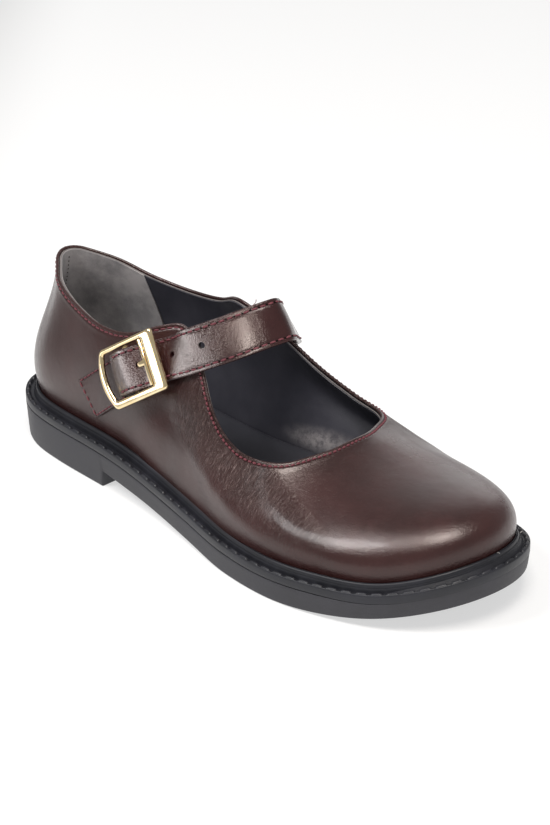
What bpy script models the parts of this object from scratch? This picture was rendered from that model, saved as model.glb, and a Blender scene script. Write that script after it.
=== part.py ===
"""Right-foot women's Mary Jane shoe: hollow leather upper on a black moulded sole.

Axes: +X towards the toe, +Y towards the inner (medial) side of the foot, +Z up.
The strap fastens at a buckle on the outer (lateral) side, which is -Y here.
The origin is the middle of the bounding box on the floor.
"""
import math

import bmesh
import bpy
import numpy as np
from mathutils import Matrix, Vector
from mathutils.bvhtree import BVHTree

MM = 0.001

# driving sizes, metres
SOLE_LENGTH = 265.0 * MM
GAP = 0.35 * MM
GROOVE_DROP = 4.0 * MM
WALL_DRAFT = 0.7 * MM
SOLE_CHAMFER = 0.8 * MM
HEEL_BREAST_HEIGHT = 7.2 * MM
TOE_SPRING = 12.6 * MM
BEAD_HEIGHT = 2.4 * MM
UPPER_WALL = 2.6 * MM
TOPLINE_ROUND = 0.35 * MM
INSOLE_ABOVE_RIM = 0.8 * MM
INSOLE_EDGE = 1.0 * MM
STRAP_WIDTH = 18.0 * MM
STRAP_THICKNESS = 2.0 * MM
STRAP_EDGE = 0.5 * MM
STRAP_SPACING = 2.6 * MM
SMOOTH_UNDER = 30.0
HOLE_DIAMETER = 3.2 * MM
HOLE_PITCH = 16.9 * MM
HOLES = 3
HOLE_LEAD = 2.6 * MM
HOLE_OFFSET = -0.8 * MM
# the strap is searched for its hole places in this many steps to each pitch of the holes
HOLE_SEARCH = 72
PUNCH_SIDES = 12
CHAPE_WIDTH = 17.8 * MM
CHAPE_THICKNESS = 1.1 * MM
FRAME_THICKNESS = 1.8 * MM
FRAME_EDGE = 0.5 * MM

# heel breast, as an angle round the foot, and how many degrees further on the arch has risen; then
# the ends of the arch and of the ground contact, as shares of the sole's length
BREAST_ANGLE = 65.0
BREAST_STEP = 0.7
ARCH_END = 0.62
ARCH_CURVE = 1.3
SPRING_START = 0.72

# steps of the loops round the foot, degrees: everywhere, and along the quarters of the upper
ANGLE_STEP = 5.0
QUARTER_STEP = 2.5
QUARTER_SPAN = (60.0, 120.0)

# sole outline: half width = 2 * sqrt(s * (1 - s)) * fullness, mm, s runs heel 0 to toe 1
FULLNESS = {
    "s": (0.0, 0.08, 0.16, 0.28, 0.40, 0.52, 0.62, 0.72, 0.82, 0.91, 1.0),
    "outer": (53.0, 49.4, 43.6, 38.8, 38.9, 44.3, 51.9, 58.4, 62.6, 66.9, 67.9),
    "inner": (53.0, 49.3, 43.0, 36.3, 33.3, 36.4, 43.6, 51.5, 57.5, 61.8, 67.9),
}

# height of the sole's rim and width of the welt shelf from the rim in to the upper, mm
RIM = {
    "s": (0.0, 0.16, 0.30, 0.46, 0.62, 0.78, 0.90, 1.0),
    "height": (19.8, 20.1, 19.5, 15.6, 13.3, 13.4, 15.9, 23.6),
    "shelf": (6.1, 6.4, 6.5, 5.9, 5.4, 5.3, 5.5, 6.1),
}

# welt section, mm: how far in from the rim, or from the upper's foot where negative, and how far
# above the rim
WELT = {
    "inset": (0.0, 0.0, 0.5, 1.3, 2.3, 2.8, -2.3, -2.0, -1.2, -0.45, -0.45),
    "rise": (-3.85, -1.2, -0.3, 0.0, -0.1, -1.3, -1.3, 1.2, 2.1, 2.2, -3.85),
}

# ribs of the upper, each from the featherline up to the topline; angle 0 is the heel, 180 the toe.
# top_* is the topline point, foot_* leads up from the featherline, head_* leads down from the topline:
# reach in mm, lean in degrees outwards from the vertical (head_inner is the lean on the inner side).
RIBS = {
    "angle": (0, 14, 28, 38, 50, 60, 70, 76,
              81, 90, 99, 112, 127, 146, 180),
    "top_x": (-113.5, -111.8, -107.2, -97.5, -79.6, -60.4, -42.0, -30.9,
              -22.2, -7.8, 7.1, 24.4, 42.0, 50.4, 54.4),
    "top_y": (0.0, 5.2, 10.3, 17.6, 22.8, 26.3, 25.4, 21.2,
              17.5, 22.0, 29.7, 34.1, 31.3, 17.5, 0.0),
    "top_z": (82.6, 82.2, 80.3, 76.5, 71.4, 69.2, 71.4, 76.2,
              78.3, 69.9, 55.4, 45.7, 43.9, 45.3, 47.1),
    "foot_reach": (21.4, 22.3, 23.0, 22.4, 19.0, 18.6, 20.3, 21.7,
                   21.5, 18.8, 15.0, 11.0, 10.0, 17.5, 26.0),
    "foot_lean": (16.2, 16.1, 16.0, 14.3, 11.4, 8.2, 5.2, 4.5,
                  3.9, 5.3, 8.7, 13.7, 14.8, 12.9, 8.6),
    "head_reach": (23.7, 23.5, 23.1, 20.4, 18.0, 17.8, 19.8, 23.8,
                   26.0, 24.4, 23.2, 24.2, 27.8, 32.6, 38.0),
    "head_outer": (6.0, 3.5, 1.0, 3.8, 9.7, 13.4, 20.9, 25.7,
                   27.4, 29.6, 35.5, 41.7, 49.8, 60.3, 69.2),
    "head_inner": (6.0, 3.5, 1.0, 3.8, 9.7, 13.4, 21.0, 25.9,
                   27.7, 29.5, 34.1, 37.7, 50.0, 67.0, 69.2),
}
RIB_STEPS = 11
# ribs repeated past the heel at either end of the table, so that its curves close smoothly there
RIB_OVERLAP = 3

# free arch of the strap over the instep from the outer quarter to the inner one, mm. ARCH_TILT is
# the slope of its width, degrees below the horizontal, and spread turns its lower edge inwards (+Y).
ARCH = {
    "x": (-5.7, 4.4, 12.0, 15.2, 16.5, 15.0, 11.0, 2.2, -8.0),
    "y": (-24.6, -17.8, -9.4, -4.1, 0.0, 4.0, 8.9, 18.5, 27.8),
    "z": (74.8, 79.9, 83.9, 85.5, 85.9, 84.4, 81.3, 74.8, 67.8),
    "spread": (0.0, 0.0, 0.0, 0.0, 0.0, 0.0, 0.0, 0.08, 0.2),
}
ARCH_TILT = 56.0

# buckle on the outer quarter: its middle, its outward direction, and how steeply it and the strap
# through it rise forwards, degrees
BUCKLE_MIDDLE = np.array((-33.0, -34.2, 60.2)) * MM
BUCKLE_OUTWARD = (0.06, -0.975, 0.22)
BUCKLE_SLOPE = 34.0
STRAP_SLOPE = 32.0
# where rays onto the leather start: over the buckle's plane, and beside the shoe
RAY_START = 30.0 * MM
OUTSIDE = 0.2

# strap over the outer quarter: way along the buckle's lead from its middle, mm, height of the
# strap's underside over the leather, mm, turn of its lower edge outwards, degrees, and its middle's
# way down from the buckle's, mm
STRAP_AT_BUCKLE = {
    "lead": (-11.7, -7.5, -3.5, 0.5, 4.5, 8.0, 14.0),
    "lift": (2.4, 4.0, 5.1, 4.1, 2.1, 1.8, 1.4),
    "twist": (0.0, 0.0, 0.0, 0.0, 3.0, 8.0, 14.0),
    "side": (-0.9, -0.9, -0.9, -0.9, -0.8, -0.6, -0.3),
}
# strap sewn down on the inner quarter, same columns, measured from the mirrored buckle middle
STRAP_SEWN = {
    "lead": (-16.0, -8.0, 0.0, 8.0, 14.0),
    "lift": (0.7, 0.6, 0.6, 0.8, 1.2),
}

# how far the sewn end lies below the mirrored line of the buckled end
SEWN_LOWER = 5.0 * MM

# chape: leather tab that runs up from its sewn end, round the buckle's bar and back over itself
CHAPE_END = (-66.8, 35.8)
CHAPE_ROWS = 9
CHAPE_EDGE = 0.25 * MM
CHAPE_FOLD = 4.5 * MM
CHAPE_LIFT = 0.6 * MM
# its turn round the bar, degrees, then shares of the fold's length and how far it has come down there
FOLD_ANGLES = (-60, -30, 0, 30, 60, 90)
FOLD_BACK = {"share": (0.22, 0.45, 0.7, 1.0), "fall": (0.02, 0.45, 0.85, 1.0)}
BAR_LEAD = -3.5 * MM
BAR_SIDE = -0.8 * MM
BAR_HEIGHT = 1.2 * MM
BAR_WIDTH = 2.6 * MM
BAR_LENGTH = 23.0 * MM
BAR_EDGE = 0.35 * MM
BAR_CORNER = 0.5 * MM
BAR_SHOULDER = 0.4

# buckle frame, mm from its middle along the lead and down: outer line, then opening
FRAME = {
    "rear": (-15.4, -14.1),
    "front": (15.0, 8.5),
    "top": (-13.4, -11.1),
    "bottom": (12.0, 8.5),
    "corner": (1.5, 0.8),
    "bow": (4.0, 2.2),
}

# tongue: hook from the cross rod over the strap and down into its first hole, mm from the middle
TONGUE = {
    "lead": (7.2, 5.2, 3.8, 3.1, 2.9),
    "level": (-0.9, -0.7, -0.8, -1.5, -2.6),
    "width": (2.1, 2.1, 2.0, 1.7, 1.4),
}
TONGUE_FLATNESS = 0.7
HOOK_OFFSET = -1.4 * MM
TONGUE_SIDES = 12
ROD_RADIUS = 0.85 * MM


def column(table, name, at):
    """Smooth curve through one column of a table, read at a position in its first column."""
    keys = list(table)
    xs = np.array(table[keys[0]], float)
    ys = np.array(table[name], float)
    return curve_through(xs, ys, at)


def curve_through(xs, ys, at):
    """Smooth curve through points, read at new places."""
    step = np.diff(xs)
    rate = np.diff(ys) / step
    slope = np.empty(len(xs))
    slope[1:-1] = (rate[:-1] * step[1:] + rate[1:] * step[:-1]) / (step[:-1] + step[1:])
    slope[0] = 1.5 * rate[0] - 0.5 * slope[1]
    slope[-1] = 1.5 * rate[-1] - 0.5 * slope[-2]
    at = np.clip(at, xs[0], xs[-1])
    i = np.clip(np.searchsorted(xs, at) - 1, 0, len(xs) - 2)
    t = (at - xs[i]) / step[i]
    near = (2 * t ** 3 - 3 * t ** 2 + 1) * ys[i] + (t ** 3 - 2 * t ** 2 + t) * step[i] * slope[i]
    far = (3 * t ** 2 - 2 * t ** 3) * ys[i + 1] + (t ** 3 - t ** 2) * step[i] * slope[i + 1]
    return near + far


def unit(rows):
    """Vectors scaled to length one."""
    rows = np.asarray(rows, float)
    return rows / np.linalg.norm(rows, axis=-1, keepdims=True)


# sole lines, all read at angles round the foot: 0 heel, 90 outer side, 180 toe, 270 inner side

def both_sides(angles):
    """Angles of the outer side followed by their mirror images on the inner side."""
    return np.array(list(angles) + [360 - a for a in angles[-2:0:-1]], float)


def station(angles):
    """Share of the sole's length at each angle."""
    return (1 - np.cos(np.radians(angles))) / 2


def outline(angles):
    """Outer line of the sole seen from above."""
    s = station(angles)
    fullness = np.where(angles <= 180, column(FULLNESS, "outer", s), column(FULLNESS, "inner", s))
    return np.c_[(s - 0.5) * SOLE_LENGTH, -np.sin(np.radians(angles)) * fullness * MM]


def outward(angles):
    """Horizontal direction out of the sole outline at each angle."""
    turn = 0.5
    tangent = unit(outline((angles + turn) % 360) - outline((angles - turn) % 360))
    return np.c_[tangent[:, 1], -tangent[:, 0]]


def spring(s):
    """Rise of the sole towards the tip of the toe."""
    return TOE_SPRING * np.clip((s - SPRING_START) / (1 - SPRING_START), 0, 1) ** 2


def floor_line(angles):
    """Height of the sole's lower edge: flat heel, arch, flat tread, toe spring."""
    s = station(angles)
    breast = station(BREAST_ANGLE)
    arch = HEEL_BREAST_HEIGHT * (1 - np.clip((s - breast) / (ARCH_END - breast), 0, 1)) ** ARCH_CURVE
    on_heel = (angles <= BREAST_ANGLE) | (angles >= 360 - BREAST_ANGLE)
    return np.where(on_heel, 0, arch) + spring(s)


def rim_line(angles):
    """Height of the welt's rim."""
    return column(RIM, "height", station(angles)) * MM


def shelf(angles):
    """Width of the welt from the rim in to the upper."""
    return column(RIM, "shelf", station(angles)) * MM


def loop(angles, inset, height):
    """Closed line round the foot, inset from the sole outline, at the given heights."""
    flat = outline(angles) - outward(angles) * np.broadcast_to(inset, angles.shape)[:, None]
    return np.c_[flat, np.broadcast_to(height, angles.shape)]


# mesh making

def material(name, colour, roughness, metallic=0.0):
    """Plain finish of one sub-part."""
    made = bpy.data.materials.new(name)
    made.use_nodes = True
    shader = made.node_tree.nodes["Principled BSDF"]
    shader.inputs["Base Color"].default_value = (*colour, 1.0)
    shader.inputs["Roughness"].default_value = roughness
    shader.inputs["Metallic"].default_value = metallic
    made.diffuse_color = (*colour, 1.0)
    return made


def smooth(mesh):
    """Smooth shading, but with a crease at every edge that turns sharply."""
    mesh.shade_smooth()
    mesh.set_sharp_from_angle(angle=math.radians(SMOOTH_UNDER))


def solid(name, points, faces, paint, collection):
    """Object made of hand-lofted faces, turned to point outwards."""
    mesh = bpy.data.meshes.new(name)
    mesh.from_pydata([tuple(p) for p in points], [], faces)
    work = bmesh.new()
    work.from_mesh(mesh)
    bmesh.ops.recalc_face_normals(work, faces=work.faces)
    bmesh.ops.triangulate(work, faces=work.faces)
    work.to_mesh(mesh)
    work.free()
    smooth(mesh)
    mesh.materials.append(paint)
    made = bpy.data.objects.new(name, mesh)
    collection.objects.link(made)
    return made


def skin(loops, closed):
    """Faces between neighbouring loops of equal length; closed joins the last loop to the first."""
    count = len(loops[0])
    faces = []
    last = len(loops) if closed else len(loops) - 1
    for k in range(last):
        here = k * count
        there = ((k + 1) % len(loops)) * count
        for i in range(count):
            j = (i + 1) % count
            faces.append((here + i, here + j, there + j, there + i))
    return faces


def ladder(count, start):
    """Cap of a loop laid out by both_sides: rungs join each outer point to its inner mirror."""
    faces = []
    half = count // 2
    for i in range(half):
        rung = [start + i, start + i + 1]
        if i + 1 < half:
            rung.append(start + count - i - 1)
        if i > 0:
            rung.append(start + count - i)
        faces.append(tuple(rung))
    return faces


def capped(name, loops, paint, collection):
    """Solid between its first and last loops, closed by a ladder of faces at both."""
    points = np.vstack(loops)
    count = len(loops[0])
    faces = skin(loops, False) + ladder(count, 0) + ladder(count, (len(loops) - 1) * count)
    return solid(name, points, faces, paint, collection)


def ring(name, loops, paint, collection):
    """Solid that runs round the foot, its section closed on itself."""
    return solid(name, np.vstack(loops), skin(loops, True), paint, collection)


def tube(name, sections, paint, collection):
    """Open run of equal closed sections with flat ends."""
    count = len(sections[0])
    last = (len(sections) - 1) * count
    faces = skin(sections, False)
    faces.append(tuple(range(count)))
    faces.append(tuple(range(last, last + count)))
    return solid(name, np.vstack(sections), faces, paint, collection)


# the sub-parts

def loop_angles(*extra):
    """Angles of the loops round the sole, with any extra ones of the outer side."""
    return both_sides(sorted(np.arange(0.0, 180.0 + ANGLE_STEP, ANGLE_STEP).tolist() + list(extra)))


def make_outsole(paint, collection):
    """Moulded sole unit from the floor up to the parting groove."""
    angles = loop_angles(BREAST_ANGLE + BREAST_STEP)
    floor = floor_line(angles)
    top = rim_line(angles) - GROOVE_DROP - GAP / 2
    loops = [
        loop(angles, WALL_DRAFT + SOLE_CHAMFER, floor),
        loop(angles, WALL_DRAFT, floor + SOLE_CHAMFER),
        loop(angles, 0.0, top - SOLE_CHAMFER),
        loop(angles, SOLE_CHAMFER, top),
    ]
    return capped("outsole", loops, paint, collection)


def make_welt(paint, collection):
    """Moulded welt: rim, shelf, channel and the bead against the upper."""
    angles = loop_angles()
    rim = rim_line(angles)
    width = shelf(angles)
    loops = []
    for inset, rise in zip(WELT["inset"], WELT["rise"]):
        inward = width + inset * MM if inset < 0 else np.full(len(angles), inset * MM)
        loops.append(loop(angles, inward, rim + rise * MM))
    return ring("welt", loops, paint, collection)


def make_insole(paint, collection):
    """Insole board with its sock, inside the foot of the upper."""
    angles = loop_angles()
    rim = rim_line(angles)
    edge = shelf(angles) + UPPER_WALL + GAP
    bottom = rim - GROOVE_DROP + GAP
    top = rim + INSOLE_ABOVE_RIM
    loops = [
        loop(angles, edge, bottom),
        loop(angles, edge, top - INSOLE_EDGE),
        loop(angles, edge + INSOLE_EDGE, top),
    ]
    return capped("insole", loops, paint, collection)


def upper_angles():
    """Angles of the upper's ribs, closer together along the quarters."""
    start, end = QUARTER_SPAN
    heel = np.arange(0.0, start, ANGLE_STEP)
    quarter = np.arange(start, end, QUARTER_STEP)
    toe = np.arange(end, 180.0 + ANGLE_STEP, ANGLE_STEP)
    return both_sides(np.concatenate([heel, quarter, toe]))


def rib_values(angles):
    """Rib table read round the whole foot: topline points, then reaches and leans."""
    folded = np.array(RIBS["angle"], float)
    round_foot = np.r_[folded, 360 - folded[-2:0:-1]]
    ends = RIB_OVERLAP
    wrapped = np.r_[round_foot[-ends:] - 360, round_foot, round_foot[:ends] + 360]
    values = {}
    for name in ("top_x", "top_y", "top_z", "foot_reach", "foot_lean", "head_reach", "head_outer"):
        outer = np.array(RIBS[name], float)
        inner = np.array(RIBS["head_inner" if name == "head_outer" else name], float)
        if name == "top_y":
            outer = -outer
        both = np.r_[outer, inner[-2:0:-1]]
        both = np.r_[both[-ends:], both, both[:ends]]
        values[name] = curve_through(wrapped, both, angles)
    return values


def upper_outside(angles, steps):
    """Outer face of the upper as rows of points, featherline first and topline last."""
    rib = rib_values(angles)
    out = outward(angles)
    feather = loop(angles, shelf(angles), rim_line(angles) + BEAD_HEIGHT)
    topline = np.c_[rib["top_x"], rib["top_y"], rib["top_z"]] * MM
    run = np.roll(topline, -1, 0) - np.roll(topline, 1, 0)
    away = unit(np.c_[run[:, 1], -run[:, 0]])
    head_out = unit(away + out)
    foot_lean = np.radians(rib["foot_lean"])
    head_lean = np.radians(rib["head_outer"])
    foot = np.c_[out * np.sin(foot_lean)[:, None], np.cos(foot_lean)]
    head = np.c_[head_out * np.sin(head_lean)[:, None], -np.cos(head_lean)]
    low = feather + foot * rib["foot_reach"][:, None] * MM
    high = topline + head * rib["head_reach"][:, None] * MM
    rows = []
    for t in np.linspace(0, 1, steps):
        u = 1 - t
        rows.append(u ** 3 * feather + 3 * u * u * t * low + 3 * u * t * t * high + t ** 3 * topline)
    return np.array(rows)


def surface_normals(rows):
    """Outward normals of a grid of points that closes round the foot."""
    along = np.roll(rows, -1, 1) - np.roll(rows, 1, 1)
    up = np.gradient(rows, axis=0)
    return unit(np.cross(along, up))


def make_upper(paint, collection):
    """Leather upper as one hollow wall, open at the collar, the throat and underneath."""
    angles = upper_angles()
    outside = upper_outside(angles, RIB_STEPS)
    normals = surface_normals(outside)
    out = outward(angles)
    normals[0] = np.c_[out, np.zeros(len(angles))]
    inside = outside - normals * UPPER_WALL
    foot = rim_line(angles) - GROOVE_DROP + GAP
    outer_foot = np.c_[outside[0][:, :2], foot]
    inner_foot = np.c_[inside[0][:, :2], foot]
    edge = (outside[-1] + inside[-1]) / 2
    rise = unit(outside[-1] - outside[-2])
    edge = edge + rise * TOPLINE_ROUND
    loops = [outer_foot] + list(outside) + [edge] + list(inside[::-1]) + [inner_foot]
    return ring("upper", loops, paint, collection)


# directions and places on the quarters

def upper_skin():
    """Outer face of the upper, to be searched by rays."""
    rows = upper_outside(np.arange(0.0, 360.0), 2 * RIB_STEPS)
    return BVHTree.FromPolygons([Vector(point) for point in rows.reshape(-1, 3)], skin(rows, False))


def buckle_axes(slope=BUCKLE_SLOPE):
    """Lead, downward and outward directions of the buckle."""
    away = unit(np.array(BUCKLE_OUTWARD))
    slope = math.radians(slope)
    lead = np.array((math.cos(slope), 0.0, math.sin(slope)))
    lead = unit(lead - away * np.dot(away, lead))
    down = np.cross(away, lead)
    return lead, down if down[2] < 0 else -down, away


def over_quarter(leather, place, lift):
    """Point at a given lift over the leather, straight under a place on the buckle's plane."""
    away = unit(np.array(BUCKLE_OUTWARD))
    found = leather.ray_cast(Vector(place + away * RAY_START), Vector(-away))[0]
    return np.array(found) + away * lift


def beside(leather, x, z, side):
    """Point of the leather beside x and z on one side of the shoe, with its outward normal."""
    found, normal, _, _ = leather.ray_cast(Vector((x, side * OUTSIDE, z)), Vector((0, -side, 0)))
    normal = np.array(normal)
    return np.array(found), normal if normal[1] * side > 0 else -normal


def strap_rows():
    """Rows of strap centre and width direction from the buckled end to the sewn end."""
    leather = upper_skin()
    lead, down, away = buckle_axes(STRAP_SLOPE)
    half = STRAP_THICKNESS / 2
    rows = []
    for step, lift, twist, side in zip(*STRAP_AT_BUCKLE.values()):
        place = BUCKLE_MIDDLE + (lead * step + down * side) * MM
        centre = over_quarter(leather, place, lift * MM + half)
        turn = math.radians(twist)
        rows.append(np.r_[centre, down * math.cos(turn) + away * math.sin(turn)])
    tilt = math.radians(ARCH_TILT)
    for x, y, z, spread in zip(*ARCH.values()):
        rows.append(np.array((x * MM, y * MM, z * MM, math.cos(tilt), spread, -math.sin(tilt))))
    sewn = []
    for step, lift in zip(STRAP_SEWN["lead"], STRAP_SEWN["lift"]):
        place = BUCKLE_MIDDLE + lead * step * MM + down * SEWN_LOWER
        skin_point, normal = beside(leather, place[0], place[2], 1)
        centre = skin_point + normal * (lift * MM + half)
        run = lead * np.array((1, -1, 1))
        width = np.cross(normal, run)
        width = width if width[2] < 0 else -width
        sewn.append(np.r_[centre, unit(width)])
    return np.array(rows + sewn[::-1])


def resample(rows, spacing):
    """Smooth run through rows of points with extra columns, at an even spacing."""
    steps = np.linalg.norm(np.diff(rows[:, :3], axis=0), axis=1)
    way = np.r_[0, np.cumsum(steps)]
    count = int(round(way[-1] / spacing)) + 1
    at = np.linspace(0, way[-1], count)
    return np.array([curve_through(way, rows[:, k], at) for k in range(rows.shape[1])]).T


def ribbon_sections(run, width, thickness, edge):
    """Flat sections with broken edges along a run of centres and width directions."""
    centres = run[:, :3]
    legs = unit(np.diff(centres, axis=0))
    ahead = unit(np.vstack([legs[:1], legs[:-1] + legs[1:], legs[-1:]]))
    across = run[:, 3:6] - ahead * np.sum(run[:, 3:6] * ahead, axis=1)[:, None]
    across = unit(across)
    face = np.cross(ahead, across)
    w = width / 2
    t = thickness / 2
    corners = ((-w, t - edge), (-w + edge, t), (w - edge, t), (w, t - edge),
               (w, edge - t), (w - edge, -t), (edge - w, -t), (-w, edge - t))
    sections = []
    for centre, side, up in zip(centres, across, face):
        sections.append([centre + side * a + up * b for a, b in corners])
    return sections


def rod(name, start, end, radius, collection, sides=16):
    """Plain round bar between two points."""
    mesh = bpy.data.meshes.new(name)
    work = bmesh.new()
    bmesh.ops.create_cone(work, cap_ends=True, segments=sides, radius1=radius, radius2=radius,
                          depth=float(np.linalg.norm(end - start)))
    work.to_mesh(mesh)
    work.free()
    turn = Vector(end - start).to_track_quat("Z", "Y").to_matrix().to_4x4()
    mesh.transform(Matrix.Translation(Vector((start + end) / 2)) @ turn)
    made = bpy.data.objects.new(name, mesh)
    collection.objects.link(made)
    return made


def combine(target, tool, operation):
    """Boolean of one solid with another, applied at once; the tool is removed."""
    change = target.modifiers.new("shape", "BOOLEAN")
    change.operation = operation
    change.solver = "EXACT"
    change.object = tool
    graph = bpy.context.evaluated_depsgraph_get()
    graph.update()
    result = bpy.data.meshes.new_from_object(target.evaluated_get(graph))
    target.modifiers.remove(change)
    smooth(result)
    target.data = result
    bpy.data.objects.remove(tool)


def make_strap(paint, collection, cutters):
    """Strap from the buckle over the instep to its sewn end, with its punched holes."""
    rows = strap_rows()
    run = resample(rows, STRAP_SPACING)
    sections = ribbon_sections(run, STRAP_WIDTH, STRAP_THICKNESS, STRAP_EDGE)
    strap = tube("strap", sections, paint, collection)
    fine = resample(rows, HOLE_PITCH / HOLE_SEARCH)
    first = int(np.argmin(np.linalg.norm(fine[:, :3] - hole_place(), axis=1)))
    ahead = unit(np.gradient(fine[:, :3], axis=0))
    for k in range(HOLES):
        at = first + HOLE_SEARCH * k
        face = unit(np.cross(ahead[at], fine[at, 3:6]))
        shift = fine[at, 3:6] * HOLE_OFFSET
        start = fine[at, :3] + shift - face * 2 * STRAP_THICKNESS
        end = fine[at, :3] + shift + face * 2 * STRAP_THICKNESS
        punch = rod("punch", start, end, HOLE_DIAMETER / 2, cutters, PUNCH_SIDES)
        punch.hide_render = True
        punch.display_type = "WIRE"
        combine(strap, punch, "DIFFERENCE")
    return strap


def hole_place():
    """Middle of the strap beside its first hole, at the tip of the tongue."""
    lead = buckle_axes(STRAP_SLOPE)[0]
    lift = float(column(STRAP_AT_BUCKLE, "lift", HOLE_LEAD / MM)) * MM + STRAP_THICKNESS / 2
    return over_quarter(upper_skin(), BUCKLE_MIDDLE + lead * HOLE_LEAD, lift)


def make_chape(paint, collection):
    """Leather tab sewn to the outer quarter and folded round the buckle's bar."""
    leather = upper_skin()
    lead, down, away = buckle_axes()
    bar_foot = over_quarter(leather, BUCKLE_MIDDLE + lead * BAR_LEAD + down * BAR_SIDE, 0.0)
    end = np.array((CHAPE_END[0] * MM, 0.0, CHAPE_END[1] * MM))
    half = CHAPE_THICKNESS / 2
    low = CHAPE_LIFT + half
    bar_level = CHAPE_LIFT + CHAPE_THICKNESS + GAP + BAR_HEIGHT / 2
    turn = bar_level - low
    run = unit(np.array((bar_foot[0] - end[0], 0.0, bar_foot[2] - end[2])))
    rows = []
    for share in np.linspace(0, 1, CHAPE_ROWS):
        x, z = end[0] + share * (bar_foot[0] - end[0]), end[2] + share * (bar_foot[2] - end[2])
        skin_point, normal = beside(leather, x, z, -1)
        facing = unit(normal * (1 - share) + away * share)
        across = np.cross(facing, run)
        across = unit(across if across[2] < 0 else -across)
        rows.append(np.r_[skin_point + facing * low, unit(across * (1 - share) + down * share)])
    centre = bar_foot + away * bar_level
    stretch = BAR_WIDTH / 2 - turn / 3
    rows[-1] = np.r_[bar_foot + away * low + lead * stretch, down]
    for angle in FOLD_ANGLES:
        a = math.radians(angle)
        round_bar = lead * (stretch + math.cos(a) * turn) + away * math.sin(a) * turn
        rows.append(np.r_[centre + round_bar, down])
    top_level = bar_level + turn
    resting = low + CHAPE_THICKNESS + GAP
    for share, fall in zip(*FOLD_BACK.values()):
        level = top_level + (resting - top_level) * fall
        rows.append(np.r_[bar_foot + away * level - lead * CHAPE_FOLD * share, down])
    sections = ribbon_sections(np.array(rows), CHAPE_WIDTH, CHAPE_THICKNESS, CHAPE_EDGE)
    return tube("chape", sections, paint, collection)


def rounded_rectangle(rear, front, top, bottom, radius, bow):
    """Closed line of a rounded rectangle in lead and down, its rear side bowed outwards."""
    middle = (top + bottom) / 2
    corners = ((front, top, -90), (front, bottom, 0), (rear, bottom, 90), (rear, top, 180))
    arcs = []
    for lead, down, start in corners:
        turns = np.radians(start + np.linspace(0, 90, 5))
        arc_lead = lead - math.copysign(radius, lead) + np.cos(turns) * radius
        arc_down = down - math.copysign(radius, down - middle) + np.sin(turns) * radius
        arcs.append(np.c_[arc_lead, arc_down])
    points = []
    for k, arc in enumerate(arcs):
        start, end = arc[-1], arcs[(k + 1) % 4][0]
        side = [start + share * (end - start) for share in np.linspace(0, 1, 5)[1:-1]]
        points += list(arc) + side
    points = np.array(points)
    rear_part = np.clip((front - points[:, 0]) / (front - rear), 0, 1)
    points[:, 0] -= bow * rear_part ** 4 * (1 - ((points[:, 1] - middle) / (bottom - middle)) ** 2)
    return points


def make_frame(paint, collection):
    """Buckle frame with a wide front band and a bowed rear side."""
    lead, down, away = buckle_axes()
    edge = FRAME_EDGE
    deep = edge - FRAME_THICKNESS
    # outer line (0) or opening (1), how far its edge is broken, and the level below the upper face
    levels = ((0, edge, -FRAME_THICKNESS), (0, 0, deep), (0, 0, -edge), (0, edge, 0),
              (1, edge, 0), (1, 0, -edge), (1, 0, deep), (1, edge, -FRAME_THICKNESS))
    loops = []
    for line, inset, level in levels:
        rear, front, top, bottom, corner, bow = (pair[line] * MM for pair in FRAME.values())
        grow = inset if line else -inset
        flat = rounded_rectangle(rear - grow, front + grow, top - grow, bottom + grow, corner + grow, bow)
        level_flat = np.outer(flat[:, 0], lead) + np.outer(flat[:, 1], down)
        loops.append(BUCKLE_MIDDLE + level_flat + away * level)
    return ring("buckle_frame", loops, paint, collection)


def make_bar(paint, collection):
    """Staple-shaped bar under the frame that the chape is folded round."""
    lead, down, away = buckle_axes()
    place = BUCKLE_MIDDLE + lead * BAR_LEAD + down * BAR_SIDE
    level = CHAPE_LIFT + CHAPE_THICKNESS + GAP + BAR_HEIGHT / 2
    centre = over_quarter(upper_skin(), place, level)
    top = place - away * (FRAME_THICKNESS + GAP)
    drop = np.dot(top - centre, away)
    reach = BAR_LENGTH / 2 - BAR_HEIGHT / 2
    half_path = ((reach, drop), (reach, BAR_SHOULDER * drop), (reach - BAR_CORNER, 0.0))
    path = [(-a, b) for a, b in half_path] + list(half_path[::-1])
    run = np.array([np.r_[centre + down * a + away * b, lead] for a, b in path])
    sections = ribbon_sections(run, BAR_WIDTH, BAR_HEIGHT, BAR_EDGE)
    return tube("buckle_bar", sections, paint, collection)


def make_tongue(paint, collection):
    """Cross rod with a short hook that bends down into the strap's first hole."""
    lead, down, away = buckle_axes()
    axis = BUCKLE_MIDDLE + lead * TONGUE["lead"][0] * MM + away * TONGUE["level"][0] * MM
    top = axis + down * (FRAME["top"][1] * MM + 2 * GAP)
    bottom = axis + down * (FRAME["bottom"][1] * MM - 2 * GAP)
    body = rod("buckle_tongue", top, bottom, ROD_RADIUS, collection)
    body.data.materials.append(paint)
    turns = np.arange(TONGUE_SIDES) * 2 * math.pi / TONGUE_SIDES
    path = np.array([TONGUE["lead"], TONGUE["level"]]).T * MM
    legs = unit(np.diff(path, axis=0))
    ahead = unit(np.vstack([legs[:1], legs[:-1] + legs[1:], legs[-1:]]))
    sections = []
    for (along, height), (run, climb), width in zip(path, ahead, TONGUE["width"]):
        centre = BUCKLE_MIDDLE + lead * along + away * height + down * HOOK_OFFSET
        up = away * run - lead * climb
        section = np.outer(np.cos(turns), down) + np.outer(np.sin(turns), up) * TONGUE_FLATNESS
        sections.append(centre + section * width * MM / 2)
    hook = tube("hook", sections, None, collection)
    combine(body, hook, "UNION")
    return body


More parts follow.
